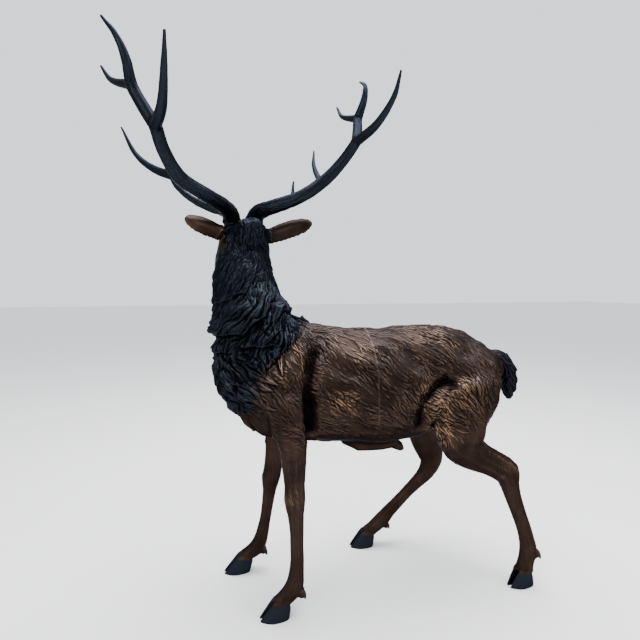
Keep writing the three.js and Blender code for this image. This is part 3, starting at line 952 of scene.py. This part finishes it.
    def dress(self, surface: Surface, coats: list[Tufts], part: Part) -> None:
        """Lays the coat and the mane on a part, and marks the patina, painted shade and sheen."""
        flow = unit(np.stack([surface.marks["flow_" + axis] for axis in "xyz"], axis=1))
        if part.name == "stag_head":
            self.head.carve(surface)
        points = surface.points
        normals = unit(surface.spread(surface.normals(), 4 * part.divisions))
        z = points[:, 2]
        mane = self.mane(points, 0.025)
        nape = mane * fade(z, *NAPE)
        lower = mane * (1 - fade(z, *NAPE))
        coat = self.coat(points)
        face = self.head.face(points)
        tail = self.tail(points)
        worn = 0.25 + 0.95 * fade(waves(points, 0.17, 9) + 0.5 * waves(points, 0.07, 8), -0.7, 0.6)
        curl = 0.010 * (0.5 * coat + mane)
        sway = np.stack([waves(points, 0.085, 61 + k) for k in range(3)], 1)
        bent = points + sway * curl[:, None]
        broad = strands(bent, flow, 0.024, 0.15, 72)
        hair = np.stack(
            [
                combed(bent, flow, 0.17, 0.15, 70),
                combed(bent, flow, 0.085, 0.12, 71),
                broad,
                strands(bent, flow, 0.0110, 0.080, 73),
                strands(bent, flow, 0.0058, 0.055, 74),
            ]
        )
        # where, and how high each field stands there in millimetres, from lumps to fine strands
        heights = (
            (coat, (1.4, 2.0, 0, 0, 0)),
            (coat * worn, (0, 0, 1.4, 2.1, 1.2)),
            (lower, (4.0, 7.0, 9.5, 4.0, 1.2)),
            (nape, (2.0, 3.0, 3.2, 2.4, 1.2)),
            (face * (1 - self.head.nose(points)), (0, 0, 0, 0.3, 0.6)),
            (self.tail(points), (0, 0, 5.0, 3.0, 1.0)),
            (fade(-z, -0.74, -0.60), (0, 0.8, 0, 0.5, 0.3)),
        )
        relief = 0.0045 * coat * waves(bent, 0.115, 75)
        for where, high in heights:
            relief += where * (np.array(high) / MM_PER_M @ hair)
        level = 0.0028 * coat * worn + 0.0050 * lower + 0.0025 * nape + 0.005 * tail
        grid = Grid(points, 0.03)
        longest = 0.12  # further than a lock laid past a plane reaches over it
        over = np.zeros(len(z))
        for laid in coats:
            near = part.inside(laid.centre) > -longest
            over = np.maximum(over, laid.only(near).on(points, grid))
        relief += over * (0.75 + 0.25 * worn) + self.tiers(points, mane)
        under = 0.007 * fade(-part.inside(points), 0.0005, 0.009)
        surface.points = points + normals * (relief - level - under)[:, None]
        # the patina's own dark and painted shade: small hollows, and the furrows between the locks,
        # to be coloured near black
        small = surface.hollow(5 * 4 ** (part.divisions - 1)) * MM_PER_M
        small += (0.65 - broad) * (0.9 * lower + 0.5 * nape + 0.25 * coat * worn)
        faced = surface.normals()
        # painted shade: the undersides that face down, added to the folds to be coloured near black
        belly = fade(-faced[:, 2], 0.0, 0.8) * fade(z, 0.45, 0.62) * fade(-z, -1.0, -0.75)
        dark = np.maximum(self.mane(points, 0.075), fade(z, 1.30, 1.36))
        ahead = fade(self.head.local(points)[:, 1], 0.02, 0.10)
        bare = np.maximum(self.head.ears(points), 0.85 * face * ahead)
        surface.marks = {
            "dark": np.maximum(dark * (1 - bare), 0.75 * tail),
            "rub": self.rubbed(points),
            "hollow": small,
            "fold_and_belly_shade": np.maximum(surface.marks["fold_and_belly_shade"], 6 * belly),
            # dust, and painted sheen of the sky, on the places that face up
            "dust_and_sheen": fade(faced[:, 2], 0.10, 0.80) * fade(z, 0.75, 0.95),
        }

    def tiers(self, points: Array, mane: Array) -> Array:
        """The mane's overhanging ruffs: it thickens down to each line and then drops back."""
        angle, _ = self.around_neck(points)
        z = points[:, 2]
        total = np.zeros(len(z))
        front = fade(np.abs(angle), 0.9, 1.5)
        # middle height, how much higher at the nape, thickness, where
        tiers = (
            (1.163, 0.050, 0.016, np.ones(len(z))),
            (1.085, 0.035, 0.012, front),
            (1.270, 0.020, 0.005, front),
        )
        for seed, (middle, tilt, thick, where) in enumerate(tiers, 21):
            line = middle + tilt * np.cos(angle) + 0.017 * waves(points, 0.085, seed)
            above = z - line
            swell = fade(-above, -0.120, -0.012) * fade(above, -0.009, 0.003)
            dip = fade(-above, 0.0, 0.010) * fade(above, -0.060, -0.008)
            uneven = 0.80 + 0.35 * waves(points, 0.07, seed + 5)
            total += (thick * swell - 0.9 * thick * dip) * uneven * where
        return total * mane

    def rubbed(self, points: Array) -> Array:
        """Where hands and weather have rubbed the brown through to gold: soft patches."""
        patches = (
            ((-0.335, 0.170, 0.985), 0.035),
            ((-0.285, 0.137, 1.060), 0.025),
            ((-0.030, 0.150, 1.020), 0.050),
            ((0.195, 0.180, 0.950), 0.045),
            ((0.430, 0.200, 0.900), 0.050),
            ((0.400, 0.100, 1.075), 0.070),
            ((0.310, 0.180, 0.780), 0.055),
            ((0.320, 0.175, 0.690), 0.050),
            ((-0.110, 0.190, 0.890), 0.050),
            ((-0.327, 0.195, 0.490), 0.022),
            ((0.600, 0.225, 0.540), 0.045),
        )
        forms = tuple(Swell((centre, centre), radius, 1.0) for centre, radius in patches)
        total = swells(forms, folded(points, 1))
        broad = fade(waves(points, 0.22, 31), -0.1, 1.0) * fade(points[:, 2], 0.70, 0.95)
        return np.clip(total + 0.55 * broad, 0, 1)


# ---------------------------------------------------------------- the antlers

# the places along each branch's middle line, in millimetres
ANTLER_PLACES = {
    "antler_left": {
        "beam": [
            [-518, 113, 1571], [-521, 98, 1599], [-534, 70, 1614], [-558, 9, 1625],
            [-619, -101, 1642], [-717, -182, 1688], [-765, -262, 1755], [-785, -330, 1813],
        ],
        "brow": [[-604, 100, 1630], [-683, 116, 1668], [-739, 116, 1714], [-760, 108, 1739]],
        "tray": [[-811, -64, 1738], [-884, 21, 1811], [-935, 54, 1915]],
        "rear": [[-759, -440, 1834], [-745, -539, 1899], [-738, -608, 1972]],
        "front": [
            [-824, -307, 1880], [-855, -296, 1942], [-867, -330, 2009], [-891, -337, 2067],
            [-941, -283, 2147],
        ],
        "lower": [[-932, -177, 1997], [-975, -100, 2070]],
    },
    "antler_right": {
        "beam": [
            [-426, 125, 1576], [-419, 115, 1604], [-405, 97, 1619], [-382, 66, 1628],
            [-250, 2, 1673], [-144, -6, 1746], [-74, -34, 1823], [-33, -77, 1889],
        ],
        "brow": [[-366, 164, 1645], [-302, 218, 1667], [-234, 261, 1720], [-216, 296, 1798]],
        "tray": [[-133, 141, 1784], [-126, 267, 1875], [-111, 321, 1952]],
        "rear": [[15, -178, 1930], [50, -262, 2008], [54, -313, 2079]],
        "front": [
            [-13, -32, 1955], [-1, -1, 2005], [17, -22, 2073], [27, -12, 2133], [31, 68, 2186],
        ],
        "lower": [[-26, 144, 2061], [-24, 229, 2130]],
    },
}


@dataclass(frozen=True)
class Branch:
    """One branch of an antler.

    Its radii are in millimetres, one for each place along it. It grows from its stem, the branch
    of that name, at the place in the stem's row whose index is its joint.
    """

    name: str
    radii: tuple[float, ...]
    stem: str = ""
    joint: int = 0


@dataclass
class Antlers:
    """The two antlers, each a casting of its own, round and smooth along every branch."""

    voxel: float = 0.0032
    # how widely branches blend where they meet
    soften: float = 0.0022
    # how often, and by how much, the surface is drawn on to the branches
    passes: int = 4
    pull: float = 0.9
    pearls: int = 22
    # how many places the line has between two of the table's
    steps: int = 14
    branches: tuple[Branch, ...] = (
        Branch("beam", (34, 35, 34, 31, 26, 25, 22, 21)),
        Branch("brow", (24, 17, 14, 10, 4), "beam", 2),
        Branch("tray", (19, 14, 9.5, 3.5), "beam", 5),
        Branch("rear", (20, 16, 10.5, 4), "beam", 7),
        Branch("front", (21, 20, 19, 14.5, 9.5, 4), "beam", 7),
        Branch("lower", (17, 9.5, 4), "front", 1),
    )

    def build(self, nodes: dict, material: bpy.types.Material) -> None:
        """Makes each antler: its even surface is drawn on to the round branches, then grained."""
        for seed, (node, places) in enumerate(ANTLER_PLACES.items()):
            surface = fine_surface(nodes[node], self.voxel)
            surface.points -= SHIFT
            line, radius, way = self.lines(places)
            for _ in range(self.passes):
                depth, out, _ = self.depths(surface.points, line, radius, way)
                surface.points -= self.pull * depth[:, None] * out
            surface.relax(3, 0.3 * np.ones(len(surface.points)), 1.02)
            _, out, along = self.depths(surface.points, line, radius, way)
            surface.points += out * self.grain(surface.points, along, places, seed)[:, None]
            normals = surface.normals()
            surface.marks = {
                "dark": np.ones(len(out)),
                "rub": np.zeros(len(out)),
                # the patina's own dark and painted shade in the furrows, finer than the coat's
                # relief, so its furrows count for more
                "hollow": surface.hollow(8) * 1.6 * MM_PER_M,
                "fold_and_belly_shade": np.zeros(len(out)),
                # dust, and painted sheen, on the upper faces of the branches
                "dust_and_sheen": fade(normals[:, 2], 0.25, 0.95),
            }
            surface.points += SHIFT
            piece(node + "_cast", surface.mesh(node + "_cast"), material, node, 75_000)

    def lines(self, places: dict) -> tuple[Array, Array, Array]:
        """Each branch's smooth middle line: its places, radii and directions.

        Between two places the line is a cubic whose end slopes are those of the centripetal curve
        through the places on either side. The radius goes evenly from one place to the next.
        """
        spots, widths, ways = [], [], []
        for branch in self.branches:
            foot = [places[branch.stem][branch.joint]] if branch.stem else []
            points = np.array(foot + places[branch.name], float) / MM_PER_M
            ends = np.concatenate(
                [[2 * points[0] - points[1]], points, [2 * points[-1] - points[-2]]]
            )
            gaps = np.diff(ends, axis=0)
            step = np.linalg.norm(gaps, axis=1)[:, None] ** 0.5
            slope = (
                gaps[:-1] / step[:-1]
                - (ends[2:] - ends[:-2]) / (step[:-1] + step[1:])
                + gaps[1:] / step[1:]
            )
            for k in range(len(points) - 1):
                t = np.linspace(0, 1, self.steps, endpoint=k == len(points) - 2)[:, None]
                first, last = slope[k] * step[k + 1], slope[k + 1] * step[k + 1]
                gap = points[k + 1] - points[k]
                curve = (
                    points[k]
                    + first * t
                    + (3 * gap - 2 * first - last) * t**2
                    + (first + last - 2 * gap) * t**3
                )
                radii = branch.radii[k] + (branch.radii[k + 1] - branch.radii[k]) * t[:, 0]
                spots.append(curve)
                widths.append(radii / MM_PER_M)
                ways.append(unit(np.gradient(curve, axis=0)))
        return np.concatenate(spots), np.concatenate(widths), np.concatenate(ways)

    def depths(
        self, points: Array, line: Array, radius: Array, way: Array
    ) -> tuple[Array, Array, Array]:
        """How far each point is outside the antler, the way out, and the way along.

        The distance to the branches is the soft least, -k log(sum exp(-d / k)), of the distances d
        to the balls along their lines, and the directions are averaged with the same weights.

        Args:
            points: places, one row each.
            line: the middles of the balls.
            radius: their radii.
            way: the branch's direction at each ball.

        Returns:
            The distance, the unit direction out and the unit direction along, for each point.
        """
        chunk = 8000
        depth = np.empty(len(points))
        out = np.empty((len(points), 3))
        along = np.empty((len(points), 3))
        for start in range(0, len(points), chunk):
            part = slice(start, start + chunk)
            spot = points[part].astype(np.float32)
            gap = spot[:, None, :] - line[None].astype(np.float32)
            away = np.linalg.norm(gap, axis=2) - radius.astype(np.float32)
            least = away.min(axis=1, keepdims=True)
            share = np.exp(-(away - least) / np.float32(self.soften))
            share /= share.sum(axis=1, keepdims=True)
            along[part] = unit((share[..., None] * way[None]).sum(axis=1))
            outward = spot - (share[..., None] * line[None]).sum(axis=1)
            out[part] = unit(outward)
            depth[part] = np.linalg.norm(outward, axis=1) - (share * radius).sum(axis=1)
        return depth, out, along

    def grain(self, points: Array, along: Array, places: dict, seed: int) -> Array:
        """Faint furrows along the branches, and the pearls of the burr.

        The furrows fade from the foot to 0.36 m from it. The pearls stand round the foot, on a
        ring that swells by |cos(n a / 2)| with the angle a.
        """
        foot, above = (np.array(place) / MM_PER_M for place in places["beam"][:2])
        axis = unit(above - foot)
        gap = points - foot
        height = gap @ axis
        side = unit(np.cross(axis, [0.0, 0.0, 1.0]))
        angle = np.arctan2(gap @ np.cross(axis, side), gap @ side)
        near = np.linalg.norm(gap, axis=1) < 0.06
        ring = bell(height, 0.011, 0.0085) * near
        pearl = 0.55 + 0.45 * np.abs(np.cos(self.pearls * angle / 2))
        pearl = pearl + 0.25 * waves(points, 0.02, seed)
        rough = fade(-np.linalg.norm(points - foot, axis=1), -0.36, -0.05)
        furrows = strands(points, along, 0.0075, 0.09, 80 + seed) - 0.6
        fine = combed(points, along, 0.007, 0.05, 90 + seed)
        burr = 0.0060 * ring * pearl
        return burr + (1 - ring) * ((0.0006 + 0.0014 * rough) * furrows + 0.00015 * fine)


# ---------------------------------------------------------------- the hooves


@dataclass
class Hooves:
    """The horn of the four feet: two claws each, and two dewclaws behind them."""

    half_length: float = 0.0580
    claw_width: float = 0.0190
    cleft: float = 0.0022
    height: float = 0.068
    # the middle of each sole, where its coronet's middle lies, and its toe's turn in degrees
    feet: tuple[tuple, ...] = (
        ((-0.395, -0.163), (-0.362, -0.166), 0.0),
        ((-0.511, 0.192), (-0.468, 0.192), 0.0),
        ((0.684, -0.222), (0.700, -0.224), 4.0),
        ((0.114, 0.255), (0.150, 0.255), -4.0),
    )
    # how far up a claw each outline lies, and its size
    outlines: Table = (
        (0, 0), (0, 0.55), (0, 0.93), (0.03, 0.985), (0.08, 1), (0.15, 1), (0.24, 1), (0.34, 1),
        (0.45, 1), (0.56, 0.995), (0.67, 0.99), (0.78, 0.975), (0.88, 0.95), (0.96, 0.90),
        (1.02, 0.80), (1.05, 0),
    )
    # how far along a dewclaw each section lies, and its size
    sections: Table = (
        (0, 0), (0, 1), (0.15, 1), (0.35, 0.92), (0.55, 0.76), (0.75, 0.54), (0.9, 0.32),
        (1.0, 0.12), (1.0, 0),
    )
    # the root and the tip of each pair of dewclaws
    spurs: tuple[tuple[Place, Place], ...] = (
        ((-0.292, -0.166, 0.112), (-0.271, -0.166, 0.070)),
        ((-0.396, 0.192, 0.106), (-0.372, 0.192, 0.064)),
        ((0.746, -0.224, 0.156), (0.775, -0.224, 0.112)),
        ((0.238, 0.255, 0.114), (0.262, 0.255, 0.074)),
    )

    def build(self, material: bpy.types.Material) -> None:
        """Makes all the claws and dewclaws as one piece."""
        claws = [
            self.claw(sole, coronet, math.radians(toe), side)
            for sole, coronet, toe in self.feet
            for side in (-1, 1)
        ]
        spurs = [
            self.spur(np.array(root), np.array(tip), side)
            for root, tip in self.spurs
            for side in (-1, 1)
        ]
        lofts = [loft + SHIFT for loft in claws + spurs]
        shades = [1.0] * len(claws) + [0.35] * len(spurs)
        piece("hooves", lofts_mesh("hooves", lofts, shades), material, "stag")

    def claw(self, sole: tuple, coronet: tuple, turn: float, side: int) -> Array:
        """One claw: level outlines from the middle of its sole up over its edge to the coronet.

        An outline is an ellipse whose half towards the toe narrows to a point, flattened on the
        side of the cleft. Going up, it moves from the sole's middle to the coronet's and shrinks,
        and its front stands higher than its heel.
        """
        around = np.linspace(0, 2 * math.pi, 56, endpoint=False)
        share, size = np.array(self.outlines, float).T
        ridge = 1 + 0.006 * np.sin(share * 55) * (size > 0.94)
        forward = np.cos(around)[None, :]
        across = np.sin(around)[None, :]
        rise = share[:, None]
        shorten, narrow, taper, flattened = 0.42, 0.10, 0.46, 0.84
        long = self.half_length * (1 - shorten * rise) * (size * ridge)[:, None]
        wide = self.claw_width * (1 - narrow * rise) * (size * ridge)[:, None]
        point = 1 - taper * np.clip(forward, 0, 1) ** 2
        inner = np.where(across * side < 0, flattened, 1.0)
        x = -long * forward
        y = side * (self.claw_width * 0.93 + self.cleft * (1 - rise))
        y = y + wide * point * across * inner
        y = y - 0.009 * side * np.clip(forward, 0, 1) ** 2 * (1 - rise)
        z = self.height * rise * (1 + 0.16 * forward) + 0.0015 * np.clip(forward, 0, 1) ** 3
        z = np.where(rise <= 0, 0.0, z)
        middle = np.array(sole) + rise[..., None] * (np.array(coronet) - np.array(sole))
        cos, sin = math.cos(turn), math.sin(turn)
        return np.stack(
            [x * cos - y * sin + middle[..., 0], x * sin + y * cos + middle[..., 1], z], axis=-1
        )

    def spur(self, root: Array, tip: Array, side: int) -> Array:
        """A dewclaw: oval sections from the root to a point, bent back a little on the way."""
        share, size = np.array(self.sections, float).T
        around = np.linspace(0, 2 * math.pi, 20, endpoint=False)
        along = unit(tip - root)
        second = np.array([0, 1.0, 0])
        first = unit(np.cross(along, second))
        bow = 0.004 * np.sin(share * math.pi)[:, None] * np.array([1.0, 0, 0])
        centre = root + share[:, None] * (tip - root) + np.array([0, side * 0.016, 0]) + bow
        ring = 0.0120 * np.cos(around)[:, None] * first + 0.0100 * np.sin(around)[:, None] * second
        return centre[:, None, :] + size[:, None, None] * ring[None]


def lofts_mesh(name: str, lofts: list[Array], shades: list[float]) -> bpy.types.Mesh:
    """Closed skins over rows of rings, each ring as many points as the next.

    Each loft's first and last rings are points, so it closes on itself; doubles are merged and the
    normals are worked out again.

    Args:
        name: the mesh's name.
        lofts: each loft's rings, by row, point and coordinate.
        shades: how dark each loft's patina is.

    Returns:
        The mesh.
    """
    points, faces, dark, start = [], [], [], 0
    for loft, shade in zip(lofts, shades):
        rows, around, _ = loft.shape
        index = start + np.arange(rows * around).reshape(rows, around)
        right = np.roll(index, -1, axis=1)
        faces.append(
            np.stack([index[:-1], right[:-1], right[1:], index[1:]], axis=-1).reshape(-1, 4)
        )
        points.append(loft.reshape(-1, 3))
        dark.append(np.full(rows * around, shade))
        start += rows * around
    mesh = bpy.data.meshes.new(name)
    mesh.from_pydata(np.concatenate(points).tolist(), [], np.concatenate(faces).tolist())
    # even marks for the horn: a little raised, half dust and painted sheen, no painted shade
    even = {"hollow": -0.3, "dust_and_sheen": 0.6, "rub": 0.0, "fold_and_belly_shade": 0.0}
    marks = {mark: np.full(start, value) for mark, value in even.items()}
    write_marks(mesh, {"dark": np.concatenate(dark), **marks})
    made = bmesh.new()
    made.from_mesh(mesh)
    bmesh.ops.remove_doubles(made, verts=made.verts, dist=1e-6)
    bmesh.ops.dissolve_degenerate(made, edges=made.edges, dist=1e-7)
    bmesh.ops.recalc_face_normals(made, faces=made.faces)
    made.to_mesh(mesh)
    made.free()
    mesh.update()
    return mesh


# ---------------------------------------------------------------- finishes


class Value:
    """A number in a material: a node's socket on which sums can be written."""

    def __init__(self, bench: "Bench", socket: bpy.types.NodeSocket) -> None:
        """Wraps one output socket of the bench's material."""
        self.bench = bench
        self.socket = socket

    def _sum(self, operation: str, first: object, second: object) -> "Value":
        """A Math node of the operation on the two."""
        made = self.bench.node("ShaderNodeMath", {"operation": operation}, {0: first, 1: second})
        return Value(self.bench, made.outputs[0])

    def __add__(self, other: object) -> "Value":
        """self + other"""
        return self._sum("ADD", self, other)

    __radd__ = __add__

    def __mul__(self, other: object) -> "Value":
        """self * other"""
        return self._sum("MULTIPLY", self, other)

    __rmul__ = __mul__

    def __sub__(self, other: object) -> "Value":
        """self - other"""
        return self._sum("SUBTRACT", self, other)

    def __rsub__(self, other: object) -> "Value":
        """other - self"""
        return self._sum("SUBTRACT", other, self)

    def step(self, low: float, high: float) -> "Value":
        """A smooth step of the number, from 0 at low to 1 at high."""
        made = self.bench.node(
            "ShaderNodeMapRange",
            {"interpolation_type": "SMOOTHSTEP"},
            {"Value": self, "From Min": low, "From Max": high},
        )
        return Value(self.bench, made.outputs["Result"])


class Bench:
    """Where one material's nodes are made."""

    def __init__(self, name: str) -> None:
        """Starts a material with only its output node."""
        self.material = bpy.data.materials.new(name)
        self.material.use_nodes = True
        self.tree = self.material.node_tree
        self.tree.nodes.clear()
        self.output = self.tree.nodes.new("ShaderNodeOutputMaterial")

    def node(self, kind: str, settings: dict, sockets: dict) -> bpy.types.Node:
        """A node of the kind, with its settings made first and then its sockets set or linked."""
        made = self.tree.nodes.new(kind)
        for name, value in settings.items():
            setattr(made, name, value)
        for name, value in sockets.items():
            if isinstance(value, Value):
                value = value.socket
            if isinstance(value, bpy.types.NodeSocket):
                self.tree.links.new(value, made.inputs[name])
            else:
                made.inputs[name].default_value = value
        return made

    def mark(self, name: str) -> Value:
        """A number that the mesh carries on its points."""
        made = self.node("ShaderNodeAttribute", {"attribute_name": name}, {})
        return Value(self, made.outputs["Fac"])

    def noise(self, place: bpy.types.NodeSocket, scale: float, detail: float) -> Value:
        """A random field in the piece's own place, 0 to 1."""
        made = self.node(
            "ShaderNodeTexNoise", {}, {"Vector": place, "Scale": scale, "Detail": detail}
        )
        return Value(self, made.outputs["Fac"])

    def blend(self, share: object, first: object, second: object) -> bpy.types.NodeSocket:
        """A colour between two, by the share."""
        colours = {
            key: (*value, 1.0) if isinstance(value, tuple) else value
            for key, value in ((6, first), (7, second))
        }
        made = self.node("ShaderNodeMix", {"data_type": "RGBA"}, {0: share, **colours})
        return made.outputs[2]

    def finished(self, sockets: dict) -> bpy.types.Material:
        """The material, ended with a principled shader whose sockets are set or linked."""
        shader = self.node("ShaderNodeBsdfPrincipled", {}, sockets)
        self.tree.links.new(shader.outputs["BSDF"], self.output.inputs["Surface"])
        return self.material


@dataclass(frozen=True)
class Patina:
    """Bronze under a brown and a blue-black patina, rubbed in places to gold."""

    name: str
    umber: Colour = (0.0110, 0.0066, 0.0052)
    chestnut: Colour = (0.0250, 0.0150, 0.0115)
    tan: Colour = (0.070, 0.045, 0.033)
    gold: Colour = (0.200, 0.120, 0.065)
    # the patina's own dark in hollows, and painted shade in hollows, folds and undersides
    black: Colour = (0.0014, 0.0011, 0.0013)
    slate: Colour = (0.0042, 0.0050, 0.0072)
    steel: Colour = (0.030, 0.036, 0.048)
    # the grey of dust and of the painted sheen of the sky
    sheen_and_dust_grey: Colour = (0.075, 0.064, 0.064)
    tint: Colour = (0.42, 0.42, 0.44)
    metallic: float = 0.9
    specular: float = 0.15

    def material(self) -> bpy.types.Material:
        """Builds the material.

        Brown is mottled from umber to chestnut, and its ridges go to tan, or to gold where they are
        rubbed. Places that face the sky are hazed with dust and a painted sheen. The mane, antlers
        and hooves are slate with steel ridges. Hollows go to black, for the patina's own dark there
        and painted shade; folds and undersides go to black as painted shade.
        """
        bench = Bench(self.name)
        place = bench.node("ShaderNodeTexCoord", {}, {}).outputs["Object"]
        mottle = bench.noise(place, 8.0, 5.0)
        cloud = bench.noise(place, 3.1, 3.0)
        speck = bench.noise(place, 120.0, 4.0)
        dark = bench.mark("dark").step(0.15, 0.85)
        rub = bench.mark("rub")
        hollow = bench.mark("hollow").step(0.05, 0.8)
        raised = (0.0 - bench.mark("hollow")).step(-0.05, 0.75)
        fold_and_belly_shade = bench.mark("fold_and_belly_shade").step(2.5, 8.0)
        dust_and_sheen = bench.mark("dust_and_sheen")
        brown = bench.blend(mottle.step(0.32, 0.72), self.umber, self.chestnut)
        ridge = raised * (0.08 + 0.50 * cloud.step(0.38, 0.68) + 0.3 * rub)
        brown = bench.blend(ridge, brown, self.tan)
        brown = bench.blend(rub * raised * mottle.step(0.38, 0.62), brown, self.gold)
        # places that face up take dust and a painted sheen
        brown = bench.blend(dust_and_sheen * (0.15 + 0.45 * raised), brown, self.sheen_and_dust_grey)
        # slate goes to steel on worn ridges, and where it faces up with dust and painted sheen
        blue = bench.blend(raised * (0.10 + 0.30 * mottle) + 0.25 * dust_and_sheen, self.slate, self.steel)
        colour = bench.blend(dark, brown, blue)
        # the patina's own dark and painted shade in the hollows go near black
        colour = bench.blend(hollow * 0.85, colour, self.black)
        # painted shade: the folds and the undersides go near black
        colour = bench.blend(fold_and_belly_shade * 0.85, colour, self.black)
        rough = 0.43 + 0.20 * hollow - 0.06 * rub + 0.14 * (speck - 0.5) - 0.05 * dark
        bump = bench.node(
            "ShaderNodeBump", {}, {"Strength": 0.12, "Distance": 0.001, "Height": speck}
        )
        return bench.finished(
            {
                "Base Color": colour,
                "Roughness": rough + 0.25 * fold_and_belly_shade,
                "Metallic": self.metallic,
                "Specular IOR Level": self.specular,
                "Specular Tint": (*self.tint, 1.0),
                "Normal": bump.outputs["Normal"],
            }
        )


# ---------------------------------------------------------------- the studio


@dataclass
class Studio:
    """A pale floor, soft lights and the camera."""

    eye: Place = (-0.6745, -1.958, 1.313)
    lens: float = 27.0
    turn: float = 14.6
    dip: float = math.degrees(math.atan(35 / 480))
    sensor: float = 36.0
    # name, place, where it is aimed, size and watts
    lamps: tuple[tuple, ...] = (
        ("above", (0.5, 0.6, 4.6), (0.1, 0.1, 1.0), (4.5, 3.5), 480.0),
        ("left", (-3.4, -3.6, 3.2), (0.0, 0.0, 0.9), (2.6, 2.6), 130.0),
        ("right", (3.6, -2.6, 2.8), (0.1, 0.0, 0.9), (2.2, 2.2), 80.0),
    )
    floor_half: float = 30.0

    def build(self) -> None:
        """Makes the floor, the sky, the lights and the camera."""
        self.floor()
        self.sky()
        for lamp in self.lamps:
            self.light(*lamp)
        self.camera()

    def floor(self) -> None:
        """A plain pale floor."""
        half = self.floor_half
        corners = [(-half, -half, 0.0), (half, -half, 0.0), (half, half, 0.0), (-half, half, 0.0)]
        mesh = bpy.data.meshes.new("floor")
        mesh.from_pydata(corners, [], [(0, 1, 2, 3)])
        floor = added("floor", mesh)
        grey = {"Base Color": (0.80, 0.80, 0.80, 1.0), "Roughness": 0.9}
        mesh.materials.append(Bench("floor_pale").finished(grey))

    def sky(self) -> None:
        """An even pale light from all round."""
        world = bpy.data.worlds.new("studio")
        world.use_nodes = True
        back = world.node_tree.nodes["Background"]
        back.inputs["Color"].default_value = (0.93, 0.96, 1.0, 1.0)
        back.inputs["Strength"].default_value = 1.5
        bpy.context.scene.world = world

    def light(
        self, name: str, at: Place, towards: Place, size: tuple[float, float], power: float
    ) -> None:
        """A soft rectangular lamp aimed at a place."""
        lamp = bpy.data.lights.new(name, "AREA")
        lamp.shape = "RECTANGLE"
        lamp.size, lamp.size_y = size
        lamp.energy = power
        thing = added(name, lamp)
        thing.location = at
        way = Vector(towards) - Vector(at)
        thing.rotation_euler = way.to_track_quat("-Z", "Y").to_euler()

    def camera(self) -> None:
        """The camera, level with the stag's neck and looking a little down."""
        lens = bpy.data.cameras.new("camera")
        lens.lens = self.lens
        lens.sensor_width = self.sensor
        camera = added("camera", lens)
        camera.location = tuple(np.array(self.eye) + SHIFT)
        camera.rotation_euler = (math.radians(90 - self.dip), 0.0, math.radians(-self.turn))
        bpy.context.scene.camera = camera


def main() -> None:
    """Loads the solids, builds each casting and the studio, and reports them."""
    logging.basicConfig(level=logging.INFO, format="%(message)s")
    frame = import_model()
    bronze = Patina("bronze_patina").material()
    Stag().build(frame["nodes"]["stag"], bronze)
    Antlers().build(frame["nodes"], bronze)
    Hooves().build(bronze)
    Studio().build()


if __name__ == "__main__":
    main()
